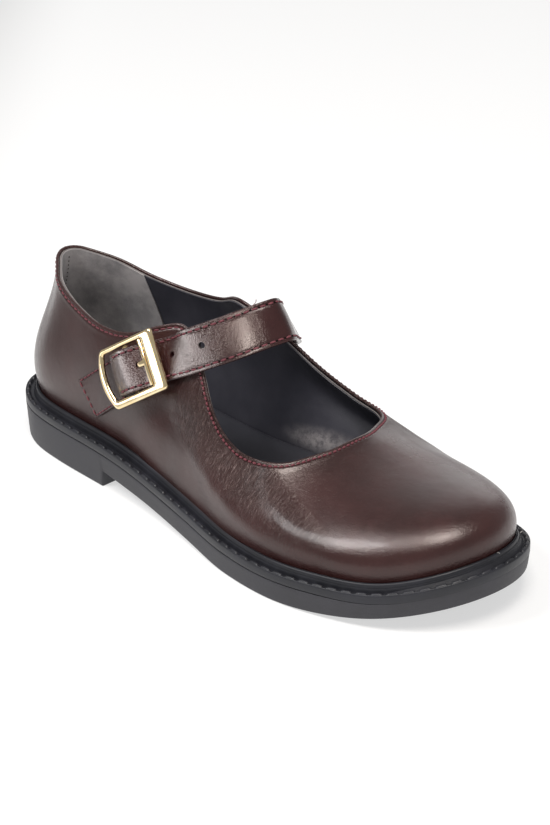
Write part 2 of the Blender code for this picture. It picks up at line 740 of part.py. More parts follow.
def settle(parts):
    """Place everything so that the bounding box stands centred on the origin, on the floor."""
    corners = np.array([vertex.co[:] for part in parts for vertex in part.data.vertices])
    low, high = corners.min(axis=0), corners.max(axis=0)
    for part in parts:
        part.location = (-(low[0] + high[0]) / 2, -(low[1] + high[1]) / 2, -low[2])


def build():
    """The whole shoe, in its own collection."""
    for leftover in list(bpy.data.objects):
        bpy.data.objects.remove(leftover)
    shoe = bpy.data.collections.new("mary_jane_shoe")
    cutters = bpy.data.collections.new("cutters")
    bpy.context.scene.collection.children.link(shoe)
    bpy.context.scene.collection.children.link(cutters)
    parts = [
        make_outsole(material("black_moulded_rubber", (0.022, 0.022, 0.024), 0.55), shoe),
        make_welt(material("black_welt_rubber", (0.018, 0.018, 0.020), 0.5), shoe),
        make_insole(material("black_sock_leather", (0.012, 0.012, 0.013), 0.6), shoe),
        make_upper(material("oxblood_leather", (0.075, 0.024, 0.024), 0.3), shoe),
        make_strap(material("oxblood_strap_leather", (0.075, 0.024, 0.024), 0.3), shoe, cutters),
        make_chape(material("oxblood_chape_leather", (0.075, 0.024, 0.024), 0.32), shoe),
        make_frame(material("polished_gold_frame", (0.93, 0.72, 0.40), 0.12, 1.0), shoe),
        make_bar(material("polished_gold_bar", (0.93, 0.72, 0.40), 0.18, 1.0), shoe),
        make_tongue(material("polished_gold_tongue", (0.93, 0.72, 0.40), 0.14, 1.0), shoe),
    ]
    settle(parts)


build()
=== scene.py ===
"""Right-foot women's Mary Jane: oxblood leather upper and strap, gold buckle, black rubber sole."""
import math

import bmesh
import bpy
import numpy as np
from mathutils import Matrix, Vector, noise
from mathutils.bvhtree import BVHTree


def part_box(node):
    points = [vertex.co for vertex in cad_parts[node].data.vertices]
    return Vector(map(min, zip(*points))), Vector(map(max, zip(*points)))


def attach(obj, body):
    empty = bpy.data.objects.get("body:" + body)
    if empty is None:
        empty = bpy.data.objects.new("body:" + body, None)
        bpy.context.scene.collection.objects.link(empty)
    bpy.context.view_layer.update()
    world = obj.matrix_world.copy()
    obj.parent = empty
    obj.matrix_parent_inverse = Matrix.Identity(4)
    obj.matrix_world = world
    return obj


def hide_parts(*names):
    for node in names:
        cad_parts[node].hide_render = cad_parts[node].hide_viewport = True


MM = 0.001
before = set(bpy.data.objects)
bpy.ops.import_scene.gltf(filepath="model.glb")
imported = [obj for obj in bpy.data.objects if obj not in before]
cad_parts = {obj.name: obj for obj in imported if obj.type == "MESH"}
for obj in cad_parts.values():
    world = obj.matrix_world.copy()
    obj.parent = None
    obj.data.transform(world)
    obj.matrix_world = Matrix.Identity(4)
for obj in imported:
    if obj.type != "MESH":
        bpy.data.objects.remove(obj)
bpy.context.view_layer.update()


# Outsole. One unit of black rubber, moulded in a single shot: a low heel block with an upright
# breast, the arch, the toe spring and a flat matt sidewall that ends in a fine parting groove.

SOLE_LENGTH = 265.0 * MM
FULLNESS = {
    "s": (0.0, 0.08, 0.16, 0.28, 0.40, 0.52, 0.62, 0.72, 0.82, 0.91, 1.0),
    "outer": (53.0, 49.4, 43.6, 38.8, 38.9, 44.3, 51.9, 58.4, 62.6, 66.9, 67.9),
    "inner": (53.0, 49.3, 43.0, 36.3, 33.3, 36.4, 43.6, 51.5, 57.5, 61.8, 67.9),
}
RIM = {
    "s": (0.0, 0.16, 0.30, 0.46, 0.62, 0.78, 0.90, 1.0),
    "height": (19.8, 20.1, 19.5, 15.6, 13.3, 13.4, 15.9, 23.6),
    "shelf": (6.1, 6.4, 6.5, 5.9, 5.4, 5.3, 5.5, 6.1),
}
BREAST_ANGLE = 65.0
BREAST_STEP = 0.7
BREAST_HEIGHT = 7.2 * MM
ARCH_END = 0.62
ARCH_CURVE = 1.3
SPRING_START = 0.72
TOE_SPRING = 12.6 * MM
GROOVE_DROP = 4.0 * MM
GROOVE_OPENING = 0.18 * MM
GROOVE_FADE = (0.80, 0.93)
WALL_DRAFT = 0.7 * MM
# sidewall section: inset, mm, then height over the floor line or below the groove, mm
FLOOR_EDGE = ((1.6, 0.0), (1.15, 0.08), (0.85, 0.3), (0.72, 0.65), (0.68, 1.2))
GROOVE_EDGE = ((0.0, -0.5), (0.05, -0.2), (0.22, -0.05), (0.5, 0.0), (1.4, 0.0))
TREAD_PITCH = 6.5 * MM
TREAD_DEPTH = 0.9 * MM
TREAD_LANES = 28
TREAD_BOW = 0.35
# where the bars fade in and out, in shares of the length; before the breast on the heel
TREAD_HEEL = 0.04
TREAD_BREAST = (0.02, 0.0325)
TREAD_BALL = (0.60, 0.95)
TREAD_FADE = 1 / 60
TREAD_SIDE = 0.86


def curve_through(xs, ys, at):
    """Smooth curve through points, read at new places."""
    xs, ys = np.array(xs, float), np.array(ys, float)
    step = np.diff(xs)
    rate = np.diff(ys) / step
    slope = np.empty(len(xs))
    slope[1:-1] = (rate[:-1] * step[1:] + rate[1:] * step[:-1]) / (step[:-1] + step[1:])
    slope[0] = 1.5 * rate[0] - 0.5 * slope[1]
    slope[-1] = 1.5 * rate[-1] - 0.5 * slope[-2]
    at = np.clip(at, xs[0], xs[-1])
    i = np.clip(np.searchsorted(xs, at) - 1, 0, len(xs) - 2)
    t = (at - xs[i]) / step[i]
    near = (2 * t ** 3 - 3 * t ** 2 + 1) * ys[i] + (t ** 3 - 2 * t ** 2 + t) * step[i] * slope[i]
    far = (3 * t ** 2 - 2 * t ** 3) * ys[i + 1] + (t ** 3 - t ** 2) * step[i] * slope[i + 1]
    return near + far


def ramp(values, start, end):
    """0 at start and before, 1 at end and beyond, straight between."""
    return np.clip((values - start) / (end - start), 0, 1)


def unit(rows):
    rows = np.asarray(rows, float)
    return rows / np.linalg.norm(rows, axis=-1, keepdims=True)


def station(angles):
    """Share of the sole's length, heel 0 to toe 1; angles run heel 0, outer side 90, toe 180."""
    return (1 - np.cos(np.radians(angles))) / 2


def outline(angles):
    """Flat outline of the sole."""
    s = station(angles)
    outer = curve_through(FULLNESS["s"], FULLNESS["outer"], s)
    inner = curve_through(FULLNESS["s"], FULLNESS["inner"], s)
    fullness = np.where(np.asarray(angles) % 360 <= 180, outer, inner)
    return np.c_[(s - 0.5) * SOLE_LENGTH, -np.sin(np.radians(angles)) * fullness * MM]


def outward(angles):
    """Flat directions square to the outline."""
    tangent = unit(outline((angles + 0.5) % 360) - outline((angles - 0.5) % 360))
    return np.c_[tangent[:, 1], -tangent[:, 0]]


def floor_line(angles):
    """Height of the sole's lower edge: the heel, the arch and the spring of the toe."""
    s = station(angles)
    breast = station(BREAST_ANGLE)
    arch = BREAST_HEIGHT * (1 - ramp(s, breast, ARCH_END)) ** ARCH_CURVE
    on_heel = (angles <= BREAST_ANGLE) | (angles >= 360 - BREAST_ANGLE)
    rise = TOE_SPRING * ramp(s, SPRING_START, 1) ** 2
    return np.where(on_heel, 0, arch) + rise


def rim_line(angles):
    """Height of the rim."""
    return curve_through(RIM["s"], RIM["height"], station(angles)) * MM


def shelf(angles):
    """How far the rim stands out from the foot of the leather."""
    return curve_through(RIM["s"], RIM["shelf"], station(angles)) * MM


def loop(angles, inset, height):
    """Closed line round the foot, inset from the sole outline, at the given heights."""
    flat = outline(angles) - outward(angles) * np.broadcast_to(inset, angles.shape)[:, None]
    return np.c_[flat, np.broadcast_to(height, angles.shape)]


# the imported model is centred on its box; this is how far that moved it sideways
whole_turn = np.arange(0.0, 360.0, 5.0)
sides = outline(whole_turn)[:, 1]
low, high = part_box("outsole")
SETTLE = np.array((0.0, (low.y + high.y) / 2 - (sides.min() + sides.max()) / 2, 0.0))


def weave(rows, columns, round_rows, round_columns):
    """Faces of a grid of points, row after row, closed round either way where asked."""
    i, j = np.meshgrid(np.arange(rows if round_rows else rows - 1),
                       np.arange(columns if round_columns else columns - 1), indexing="ij")
    next_i, next_j = (i + 1) % rows, (j + 1) % columns
    here, there = i * columns, next_i * columns
    corners = np.stack((here + j, here + next_j, there + next_j, there + j), -1)
    return [tuple(face) for face in corners.reshape(-1, 4).tolist()]


def closed_mesh(name, points, faces):
    """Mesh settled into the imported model's place, with its faces looking outwards."""
    mesh = bpy.data.meshes.new(name)
    mesh.from_pydata((np.asarray(points).reshape(-1, 3) + SETTLE).tolist(), [], faces)
    work = bmesh.new()
    work.from_mesh(mesh)
    bmesh.ops.recalc_face_normals(work, faces=work.faces)
    work.to_mesh(mesh)
    work.free()
    return mesh


def placed(name, data):
    """New object in the scene."""
    made = bpy.data.objects.new(name, data)
    bpy.context.scene.collection.objects.link(made)
    return made


def piece(name, points, faces, finish, slot, replaced=(), crisp=40):
    """Adds one part of the shoe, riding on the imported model."""
    mesh = closed_mesh(name, points, faces)
    mesh.shade_smooth()
    mesh.set_sharp_from_angle(angle=math.radians(crisp))
    mesh.materials.append(finish)
    made = placed(name, mesh)
    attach(made, "root")
    if replaced:
        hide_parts(*replaced)
    return made


class Shade:
    """What comes out of one socket of a finish; sums written on it add the nodes that do them."""

    def __init__(self, tree, socket=None):
        self.tree = tree
        self.socket = socket

    def node(self, kind, settings, values, output=0):
        made = self.tree.nodes.new("ShaderNode" + kind)
        for name, value in settings.items():
            setattr(made, name, value)
        for name, value in values.items():
            if isinstance(value, Shade):
                self.tree.links.new(value.socket, made.inputs[name])
            else:
                made.inputs[name].default_value = value
        return Shade(self.tree, made.outputs[output])

    def sum(self, operation, first, second):
        return self.node("Math", {"operation": operation}, {0: first, 1: second})

    def __add__(self, other):
        return self.sum("ADD", self, other)

    def __sub__(self, other):
        return self.sum("SUBTRACT", self, other)

    def __rsub__(self, other):
        return self.sum("SUBTRACT", other, self)

    def __mul__(self, other):
        return self.sum("MULTIPLY", self, other)

    __radd__ = __add__
    __rmul__ = __mul__

    def rise(self, low, high):
        """0 below low and 1 above high, with a soft step between."""
        return self.node("MapRange", {"interpolation_type": "SMOOTHSTEP"},
                         {"Value": self, "From Min": low, "From Max": high})

    def blend(self, first, second):
        """Colour that goes from first to second as this goes from 0 to 1."""
        return self.node("Mix", {"data_type": "RGBA"}, {0: self, 6: first, 7: second}, 2)

    def cloud(self, scale, detail=3.0, roughness=0.5):
        """Soft noise at this place, per metre."""
        return self.node("TexNoise", {}, {"Vector": self, "Scale": scale, "Detail": detail,
                                          "Roughness": roughness})

    def cells(self, scale, feature="DISTANCE_TO_EDGE"):
        return self.node("TexVoronoi", {"feature": feature}, {"Vector": self, "Scale": scale})

    def along(self, axis):
        """How far this place lies along x, y or z, given as axis 0, 1 or 2."""
        return self.node("SeparateXYZ", {}, {"Vector": self}, axis)

    def stretched(self, turn, scale):
        """This place turned and stretched, so that what is read there runs one way."""
        return self.node("Mapping", {}, {"Vector": self, "Rotation": turn, "Scale": scale})


def finish(name, **fixed):
    """New finish, its shader with the fixed values set, and the place on the shoe."""
    made = bpy.data.materials.new(name)
    made.use_nodes = True
    shader = made.node_tree.nodes["Principled BSDF"]
    for socket, value in fixed.items():
        shader.inputs[socket.replace("_", " ")].default_value = value
    place = Shade(made.node_tree).node("TexCoord", {}, {}, "Object")
    return made, shader, place


def dress(shader, colour, gloss, *reliefs):
    """Feeds a shader its colour, its roughness and one relief after another."""
    tree = colour.tree
    tree.links.new(colour.socket, shader.inputs["Base Color"])
    tree.links.new(gloss.socket, shader.inputs["Roughness"])
    under = None
    for height, distance in reliefs:
        values = {"Height": height, "Distance": distance * MM, "Strength": 1.0}
        if under is not None:
            values["Normal"] = under
        under = height.node("Bump", {}, values)
    tree.links.new(under.socket, shader.inputs["Normal"])


def rubber(name, dark, light, dull, grain):
    """Black moulded rubber: fine spark-eroded grain, faint handling marks and dust."""
    made, shader, place = finish(name, Specular_IOR_Level=0.45)
    marks = place.cloud(60, 5, 0.65).rise(0.35, 0.75)
    streaks = place.stretched((0, 0, 0.5), (40, 40, 400)).cloud(1.0, 4)
    colour = (marks * 0.7 + streaks * 0.3).blend(dark, light)
    gloss = marks * 0.12 + dull
    pits = place.cells(2600, "SMOOTH_F1")
    dress(shader, colour, gloss, (pits, grain), (place.cloud(5200, 2), grain * 0.6),
          (place.cloud(90, 2), 0.05))
    return made


sole_rubber = rubber("moulded_sole_rubber", (0.029, 0.0285, 0.034, 1), (0.050, 0.049, 0.058, 1),
                     dull=0.5, grain=0.05)


def mirrored(angles):
    """Angles of the outer side, then their mirror images on the inner side."""
    return np.array(list(angles) + [360 - a for a in angles[-2:0:-1]], float)


def sole_bottom(angles, rim_points):
    """Grid under the sole from the outer edge to the inner one, with its moulded tread."""
    half = len(angles) // 2
    rungs = np.arange(1, half)
    share = np.linspace(0, 1, TREAD_LANES + 1)[1:-1]
    outer, inner = rim_points[rungs], rim_points[len(angles) - rungs]
    points = outer[:, None] + (inner - outer)[:, None] * share[:, None]
    x = points[..., 0]
    lane = np.abs(share - 0.5) * 2
    wave = np.sin(2 * math.pi * (x / TREAD_PITCH + TREAD_BOW * np.cos(math.pi * lane)))
    ribs = np.clip(wave * 3 + 0.5, 0, 1)
    s = (x / SOLE_LENGTH) + 0.5
    on_heel = ramp(station(BREAST_ANGLE) - s, *TREAD_BREAST) * ramp(s, TREAD_HEEL, TREAD_HEEL + TREAD_FADE)
    first, last = TREAD_BALL
    on_ball = ramp(s, first, first + TREAD_FADE) * ramp(s, last, last - TREAD_FADE)
    field = np.clip((TREAD_SIDE - lane) * 12, 0, 1)
    points[..., 2] += TREAD_DEPTH * ribs * (on_heel + on_ball) * field
    return points


def groove_share(angles):
    """1 where the parting groove is open, falling to a hairline at the toe."""
    return 1 - 0.9 * ramp(station(angles), *GROOVE_FADE)


def ladder(count, start, base=0, lanes=0):
    """Faces that fill a loop from its outer side to its inner one, over any lanes of points between."""
    half = count // 2
    rungs = []
    for rung in range(1, half):
        first = base + (rung - 1) * lanes
        rungs.append([start + rung, *range(first, first + lanes), start + count - rung])
    faces = [(start, *rungs[0]), (start + half, *rungs[-1][::-1])]
    for before, after in zip(rungs, rungs[1:]):
        faces += [(before[k], before[k + 1], after[k + 1], after[k]) for k in range(lanes + 1)]
    return faces


def build_outsole():
    outer_side = sorted(np.arange(0, 180.5, 0.5).tolist() + [BREAST_ANGLE + BREAST_STEP])
    angles = mirrored(outer_side)
    floor = floor_line(angles)
    open_share = groove_share(angles)
    top = rim_line(angles) - GROOVE_DROP - GROOVE_OPENING * open_share
    loops = [loop(angles, inset * MM, floor + rise * MM) for inset, rise in FLOOR_EDGE]
    for share in (0.25, 0.5, 0.75):
        height = floor + (top - floor) * share
        loops.append(loop(angles, WALL_DRAFT * (1 - share), height))
    for inset, rise in GROOVE_EDGE:
        soft = open_share if inset < 1 else 1
        loops.append(loop(angles, inset * MM * soft, top + rise * MM * open_share))
    count = len(angles)
    points = np.vstack(loops)
    faces = weave(len(loops), count, False, True)
    for level in (0, len(loops) - 1):
        grid = sole_bottom(angles, loops[level])
        if level:
            grid[..., 2] = loops[level][1:count // 2, 2][:, None]
        faces += ladder(count, level * count, len(points), grid.shape[1])
        points = np.vstack([points, grid.reshape(-1, 3)])
    return points, faces


piece("outsole_unit", *build_outsole(), sole_rubber, "black_rubber_sole", ("outsole",))


# Welt. The upper rim of the same rubber unit: a rounded edge that carries moulded stitches, a
# narrow channel inside it, and a bead with two fine ridges that hugs the foot of the leather.

# section: inset from the edge, mm, or from the upper where negative; rise over the rim, mm; in
# the channel the rise at a moulded stitch, between two stitches and in the dimple at their ends
WELT_EDGE = {
    "inset": (2.2, 0.5, 0.12, 0.0, 0.0, 0.0, 0.06, 0.18, 0.34),
    "rise": (-3.82, -3.82, -3.75, -3.5, -2.4, -1.3, -0.8, -0.45, -0.34),
}
WELT_CHANNEL = {
    "inset": (0.5, 0.68, 1.05, 1.45, 1.75, 2.0, 2.3),
    "stitch": (-0.42, -0.12, 0.08, 0.05, -0.38, -0.9, -1.3),
    "gap": (-0.55, -0.75, -0.88, -0.92, -0.95, -1.0, -1.35),
    "dimple": (-0.56, -0.8, -1.0, -1.05, -1.05, -1.2, -1.4),
}
WELT_BEAD = {
    "inset": (2.7, -2.55, -2.4, -2.25, -2.05, -1.9, -1.78, -1.65,
              -1.45, -1.2, -1.0, -0.8, -0.6, -0.45, -0.45),
    "rise": (-1.5, -1.5, -1.2, -0.2, 0.45, 0.70, 0.12, 0.85,
             1.7, 2.1, 2.15, 1.55, 2.15, 2.2, -3.85),
}
# the rim's foot, below this rise, follows the parting groove as it closes towards the toe
WELT_FOOT = -3.4
# shares of half a pitch, from the middle of a stitch, where it begins to fall and has ended, and
# where the dimple beyond it begins and is full
STITCH_FALL = (0.62, 0.82)
DIMPLE_RISE = (0.82, 0.92)
STITCH_SAG = 0.25
STITCH_PITCH = 6.0 * MM
WELT_STEP = 0.4 * MM

welt_rubber = rubber("moulded_welt_rubber", (0.011, 0.0115, 0.015, 1), (0.024, 0.0245, 0.033, 1),
                     dull=0.38, grain=0.025)


def way_along(points):
    """How far along a line of points each of them lies."""
    return np.r_[0, np.cumsum(np.linalg.norm(np.diff(points, axis=0), axis=1))]


def evenly_round(spacing):
    """Angles round the foot that step evenly along the sole's edge, and how far along each is."""
    fine = np.arange(0.0, 360.01, 0.2)
    way = way_along(outline(fine % 360))
    count = int(way[-1] / spacing)
    along = np.arange(count) * way[-1] / count
    return np.interp(along, way, fine), along, way[-1]


def build_welt():
    angles, along, whole = evenly_round(WELT_STEP)
    pitch = whole / round(whole / STITCH_PITCH)
    phase = np.abs((along / pitch) % 1 - 0.5) * 2
    stitched = 1 - ramp(phase, *STITCH_FALL)
    stitched = stitched ** 2 * (3 - 2 * stitched) * (1 - STITCH_SAG * phase ** 2)
    dimpled = ramp(phase, *DIMPLE_RISE)
    rim, width, open_share = rim_line(angles), shelf(angles), groove_share(angles)
    loops = []
    for part in (WELT_EDGE, WELT_CHANNEL, WELT_BEAD):
        for inset, stitch, *between in zip(*part.values()):
            gap, dimple = between or (stitch, stitch)
            inward = width + inset * MM if inset < 0 else np.full(len(angles), inset * MM)
            rise = (gap + (stitch - gap) * stitched + (dimple - gap) * dimpled) * MM
            if gap < WELT_FOOT:
                rise = -GROOVE_DROP + (rise + GROOVE_DROP) * open_share
                inward = inward * (open_share if inset < 1 else 1)
            loops.append(loop(angles, inward, rim + rise))
    return np.vstack(loops), weave(len(loops), len(angles), True, True)


piece("welt_rim", *build_welt(), welt_rubber, "black_rubber_welt", ("welt",), 50)


# Glue traces. Pale crumbs of cement, squeezed out where the upper was pressed into the sole and
# left by hand on the bead and the leather round the toe.

# where each crumb lies and how long it is, mm, and its heading
GLUE = {
    "x": (127.3, 121.4, 126.1, 121.8, 121.9, 112.4, 104.9),
    "y": (-0.6, 20.5, -6.5, -17.0, -13.9, -26.2, -31.9),
    "z": (25.6, 23.6, 25.1, 22.3, 22.7, 20.6, 19.6),
    "length": (1.1, 2.0, 0.9, 1.5, 0.8, 1.1, 0.7),
    "turn": (20, 100, 70, 60, 10, 40, 35),
}
CRUMB_HALF_WIDTH = 0.26
CRUMB_HALF_HEIGHT = 0.22


def dusty(name, shine, patch, dark, light, haze, dull, grain, depth):
    """Plain dull finish, cloudy in colour and gloss; patch and grain are scale and detail."""
    made, shader, place = finish(name, Specular_IOR_Level=shine)
    dress(shader, place.cloud(*patch).blend(dark, light), place.cloud(haze, 2) * 0.1 + dull,
          (place.cloud(*grain), depth))
    return made


glue_tone = dusty("dried_glue", 0.3, (1500, 3), (0.16, 0.155, 0.15, 1), (0.55, 0.53, 0.51, 1),
                  900, 0.6, (2600, 3), 0.1)


def gathered(stack):
    """Points and faces of one or more closed tubes, each given as its rings."""
    points, faces, base = [], [], 0
    for rings in stack:
        rows, columns = rings.shape[:2]
        points.append(rings.reshape(-1, 3))
        faces += [tuple(base + k for k in face) for face in weave(rows, columns, False, True)]
        last = base + (rows - 1) * columns
        faces += [tuple(range(base, base + columns)), tuple(range(last, last + columns))]
        base += rows * columns
    return np.vstack(points), faces


def build_glue():
    """Small flat crumbs, each a squashed ball with an uneven edge."""
    crumbs = []
    a = np.arange(10) * 2 * math.pi / 10
    for x, y, z, length, turn in zip(*GLUE.values()):
        cos, sin = math.cos(math.radians(turn)), math.sin(math.radians(turn))
        rings = []
        for tilt in np.arange(1, 6) * math.pi / 6:
            reach = math.sin(tilt) * (1 + 0.3 * np.sin(3 * a + x))
            along, across = reach * np.cos(a) * length / 2, reach * np.sin(a) * CRUMB_HALF_WIDTH
            height = np.full(len(a), z + CRUMB_HALF_HEIGHT * math.cos(tilt))
            rings.append(np.c_[x + along * cos - across * sin, y + along * sin + across * cos, height])
        crumbs.append(np.array(rings) * MM)
    return gathered(crumbs)


piece("glue_traces", *build_glue(), glue_tone, "black_rubber_welt")


# Insole. Black sock leather glued over the board that closes the upper from below; its edge is
# soft and rounded and lies close against the linings all round.

UPPER_WALL = 2.6 * MM
# inset from the inside of the upper and rise over the rim, mm
SOCK_SECTION = ((0.35, -3.65), (0.35, -0.4), (0.5, 0.2), (0.9, 0.6), (1.5, 0.78), (3.5, 0.8))


def black_leather(name, dark, light, dull, pore, depth, sheen_place=None):
    """Smooth black lining leather with a fine even pore and faint rub marks; one pale patch is a painted
    sheen.
    """
    made, shader, place = finish(name, Specular_IOR_Level=0.5)
    rubs = place.cloud(35, 5, 0.6).rise(0.35, 0.75)
    colour = (rubs * 0.8 + place.cloud(900, 2) * 0.2).blend(dark, light)
    # painted sheen: a pale streaky patch in the colour where the lining would catch the light
    if sheen_place:
        near = place.node("VectorMath", {"operation": "DISTANCE"}, {
            0: place.stretched((0, 0, 0), (0.62, 1.0, 1.9)), 1: sheen_place}, 1)
        patch_share = (1 - near.rise(0.001, 0.0145)) * (place.cloud(330, 5, 0.75).rise(0.3, 0.66) * 0.8 + 0.2)
        colour = patch_share.blend(colour, (0.36, 0.335, 0.34, 1))
    gloss = rubs * 0.14 + dull
    dress(shader, colour, gloss, (place.cells(pore), depth), (place.cloud(400, 3), depth * 1.4),
          (place.cloud(45, 3), 0.35))
    return made


sock_leather = black_leather("black_sock_leather", (0.018, 0.0185, 0.025, 1), (0.033, 0.033, 0.042, 1),
                             dull=0.5, pore=1500, depth=0.03)


def build_insole():
    angles = mirrored(np.arange(0, 181, 2.0))
    rim, edge = rim_line(angles), shelf(angles) + UPPER_WALL
    loops = [loop(angles, edge + inset * MM, rim + rise * MM) for inset, rise in SOCK_SECTION]
    count = len(angles)
    faces = weave(len(loops), count, False, True)
    faces += ladder(count, 0) + ladder(count, (len(loops) - 1) * count)
    return np.vstack(loops), faces


piece("sock_insole", *build_insole(), sock_leather, "black_lining_leather", ("insole",))


# Upper. Vamp and quarters of smooth glossy oxblood leather, pulled over the last, closed by a seam
# down the back of the heel, its edge folded over along the collar and the throat and sewn there.

# ribs of the last, from the heel round the outer side to the toe: where the topline stands, mm, how
# far the wall runs straight on from its foot and from the topline, mm, and how it leans there
RIBS = {
    "angle": (0, 14, 28, 38, 50, 60, 70, 76,
              81, 90, 99, 112, 127, 146, 180),
    "top_x": (-113.5, -111.8, -107.2, -97.5, -79.6, -60.4, -42.0, -30.9,
              -22.2, -7.8, 7.1, 24.4, 42.0, 50.4, 54.4),
    "top_y": (0.0, 5.2, 10.3, 17.6, 22.8, 26.3, 25.4, 21.2,
              17.5, 22.0, 29.7, 34.1, 31.3, 17.5, 0.0),
    "top_z": (82.6, 82.2, 80.3, 76.5, 71.4, 69.2, 71.4, 76.2,
              78.3, 69.9, 55.4, 45.7, 43.9, 45.3, 47.1),
    "foot_reach": (21.4, 22.3, 23.0, 22.4, 19.0, 18.6, 20.3, 21.7,
                   21.5, 18.8, 15.0, 11.0, 10.0, 17.5, 26.0),
    "foot_lean": (16.2, 16.1, 16.0, 14.3, 11.4, 8.2, 5.2, 4.5,
                  3.9, 5.3, 8.7, 13.7, 14.8, 12.9, 8.6),
    "head_reach": (23.7, 23.5, 23.1, 20.4, 18.0, 17.8, 19.8, 23.8,
                   26.0, 24.4, 23.2, 24.2, 27.8, 32.6, 38.0),
    "head_outer": (6.0, 3.5, 1.0, 3.8, 9.7, 13.4, 20.9, 25.7,
                   27.4, 29.6, 35.5, 41.7, 49.8, 60.3, 69.2),
    "head_inner": (6.0, 3.5, 1.0, 3.8, 9.7, 13.4, 21.0, 25.9,
                   27.7, 29.5, 34.1, 37.7, 50.0, 67.0, 69.2),
}
RIB_STEPS = 161
# how far, in degrees, the ribs are evened out, and how near the toe that begins and is full
EVENING = 7
EVENING_RISE = (68, 54)
BEAD_HEIGHT = 2.4 * MM
LEATHER = 1.35 * MM
STITCH_DROP = 1.55 * MM
STITCH_PULL = (-0.32 * MM, STITCH_DROP, 0.55 * MM)
FOLD_SWELL = (0.16 * MM, 2.1 * MM, 1.0 * MM)
SEAM_SUNK = 0.25 * MM
FOLD_STEPS = 7
FOOT_DROP = 3.6 * MM
OUTER_ROWS = 78
# inside, rows of the wall nearest the top that are all kept, and how many below go by one row
INNER_DEEP = 14
INNER_STRIDE = 8
# soft flex folds of the vamp: how far down they run and how they waver, mm; x near the throat and
# x near the sole, half width and depth, mm
FOLD_RUN = 32
FOLD_WAVE = (1.2, 5)
FOLDS = {
    "top": (-9.0, 4.0, 15.0, 25.0, 36.0, 48.0, 61.0),
    "foot": (-14.0, 0.0, 13.0, 26.0, 41.0, 56.0, 70.0),
    "width": (4.0, 3.4, 3.0, 3.2, 3.6, 3.4, 3.6),
    "depth": (0.07, 0.12, 0.13, 0.11, 0.12, 0.09, 0.05),
}
# the quarter's hollow over the instep and the fullness at its foot: x, then how deep and how
# proud, mm; below the table the hollow's height and reach, and the reach of the fullness
FORM = {
    "x": (-48.0, -32.0, -18.0, 0.0, 13.0, 25.0, 40.0, 58.0),
    "hollow": (0.0, 0.3, 1.3, 1.5, 1.2, 0.6, 0.0, 0.0),
    "foot": (0.0, 0.6, 1.0, 1.1, 1.1, 1.0, 0.7, 0.0),
}
HOLLOW_AT = (45.0, 7.0)
FOOT_REACH = 11.0
# mm out to the side, up from the floor and down from the topline where the leather begins to give
# and gives fully
FLANK = (17, 29)
OVER_SOLE = (17, 26)
BELOW_EDGE = (1.8, 5.3)
# fine crinkles of the flank: the same, mm out and up, and along the shoe at the rear and in front
CRINKLE_OUT = (21, 28)
CRINKLE_UP = (35, 45)
CRINKLE_REAR = (-18, -8)
CRINKLE_FRONT = (76, 46)
CRINKLE = 0.03 * MM
CRINKLE_GRAIN = (0.7, 0.13, 0.13)
CRINKLE_WANDER = (0.08, 0.1, 0.1)
# hair lines, m: out, up and along as above, and up and along where they have scuffed the coat and carry
# painted glints
HAIR_OUT = (0.021, 0.028)
HAIR_UP = (0.035, 0.045)
HAIR_REAR = (-0.018, -0.006)
HAIR_FRONT = (0.056, 0.092)
SCUFF_AND_GLINT_UP = (0.048, 0.064)
SCUFF_AND_GLINT_FRONT = (0.046, 0.064)
HAIR_STRETCH = (1500, 260, 260)
HAIR_SCUFF_AND_GLINT_TONE = (0.165, 0.112, 0.106, 1)


def rib_values(angles):
    """The ribs' table read round the whole foot, evened out over the vamp so that it shines smoothly."""
    table = {name: np.array(row, float) for name, row in RIBS.items()}
    inner = dict(table, angle=360 - table["angle"], head_outer=table.pop("head_inner"))
    table["top_y"] = -table["top_y"]
    round_foot = {name: np.r_[row, inner[name][-2:0:-1]] for name, row in table.items()}
    turn = round_foot.pop("angle")
    turn = np.r_[turn[-3:] - 360, turn, turn[:3] + 360]
    reach = EVENING * ramp(np.abs(np.asarray(angles) % 360 - 180), *EVENING_RISE)
    values = {}
    for name, row in round_foot.items():
        row = np.r_[row[-3:], row, row[:3]]
        near = [curve_through(turn, row, angles + reach * share) for share in (-1, -0.5, 0, 0.5, 1)]
        values[name] = np.average(near, axis=0, weights=(1, 2, 3, 2, 1))
    return values


def ribs_at(angles):
    """Each rib of the outer face, from the topline down to the featherline."""
    rib, out = rib_values(angles), outward(angles)
    feather = loop(angles, shelf(angles), rim_line(angles) + BEAD_HEIGHT)
    topline = np.c_[rib["top_x"], rib["top_y"], rib["top_z"]] * MM
    after, before = rib_values((angles + 0.5) % 360), rib_values((angles - 0.5) % 360)
    run = np.c_[after["top_x"] - before["top_x"], after["top_y"] - before["top_y"]]
    away = unit(np.c_[run[:, 1], -run[:, 0]])
    head_out = unit(away + out)
    foot_lean, head_lean = np.radians(rib["foot_lean"]), np.radians(rib["head_outer"])
    foot = np.c_[out * np.sin(foot_lean)[:, None], np.cos(foot_lean)]
    head = np.c_[head_out * np.sin(head_lean)[:, None], -np.cos(head_lean)]
    first = feather + foot * rib["foot_reach"][:, None] * MM
    second = topline + head * rib["head_reach"][:, None] * MM
    t = np.linspace(1, 0, RIB_STEPS)[:, None, None]
    u = 1 - t
    return u ** 3 * feather + 3 * u * u * t * first + 3 * u * t * t * second + t ** 3 * topline


def read_line(at, way, points):
    """Points of a line read at new places along it."""
    return np.array([np.interp(at, way, column) for column in points.T]).T


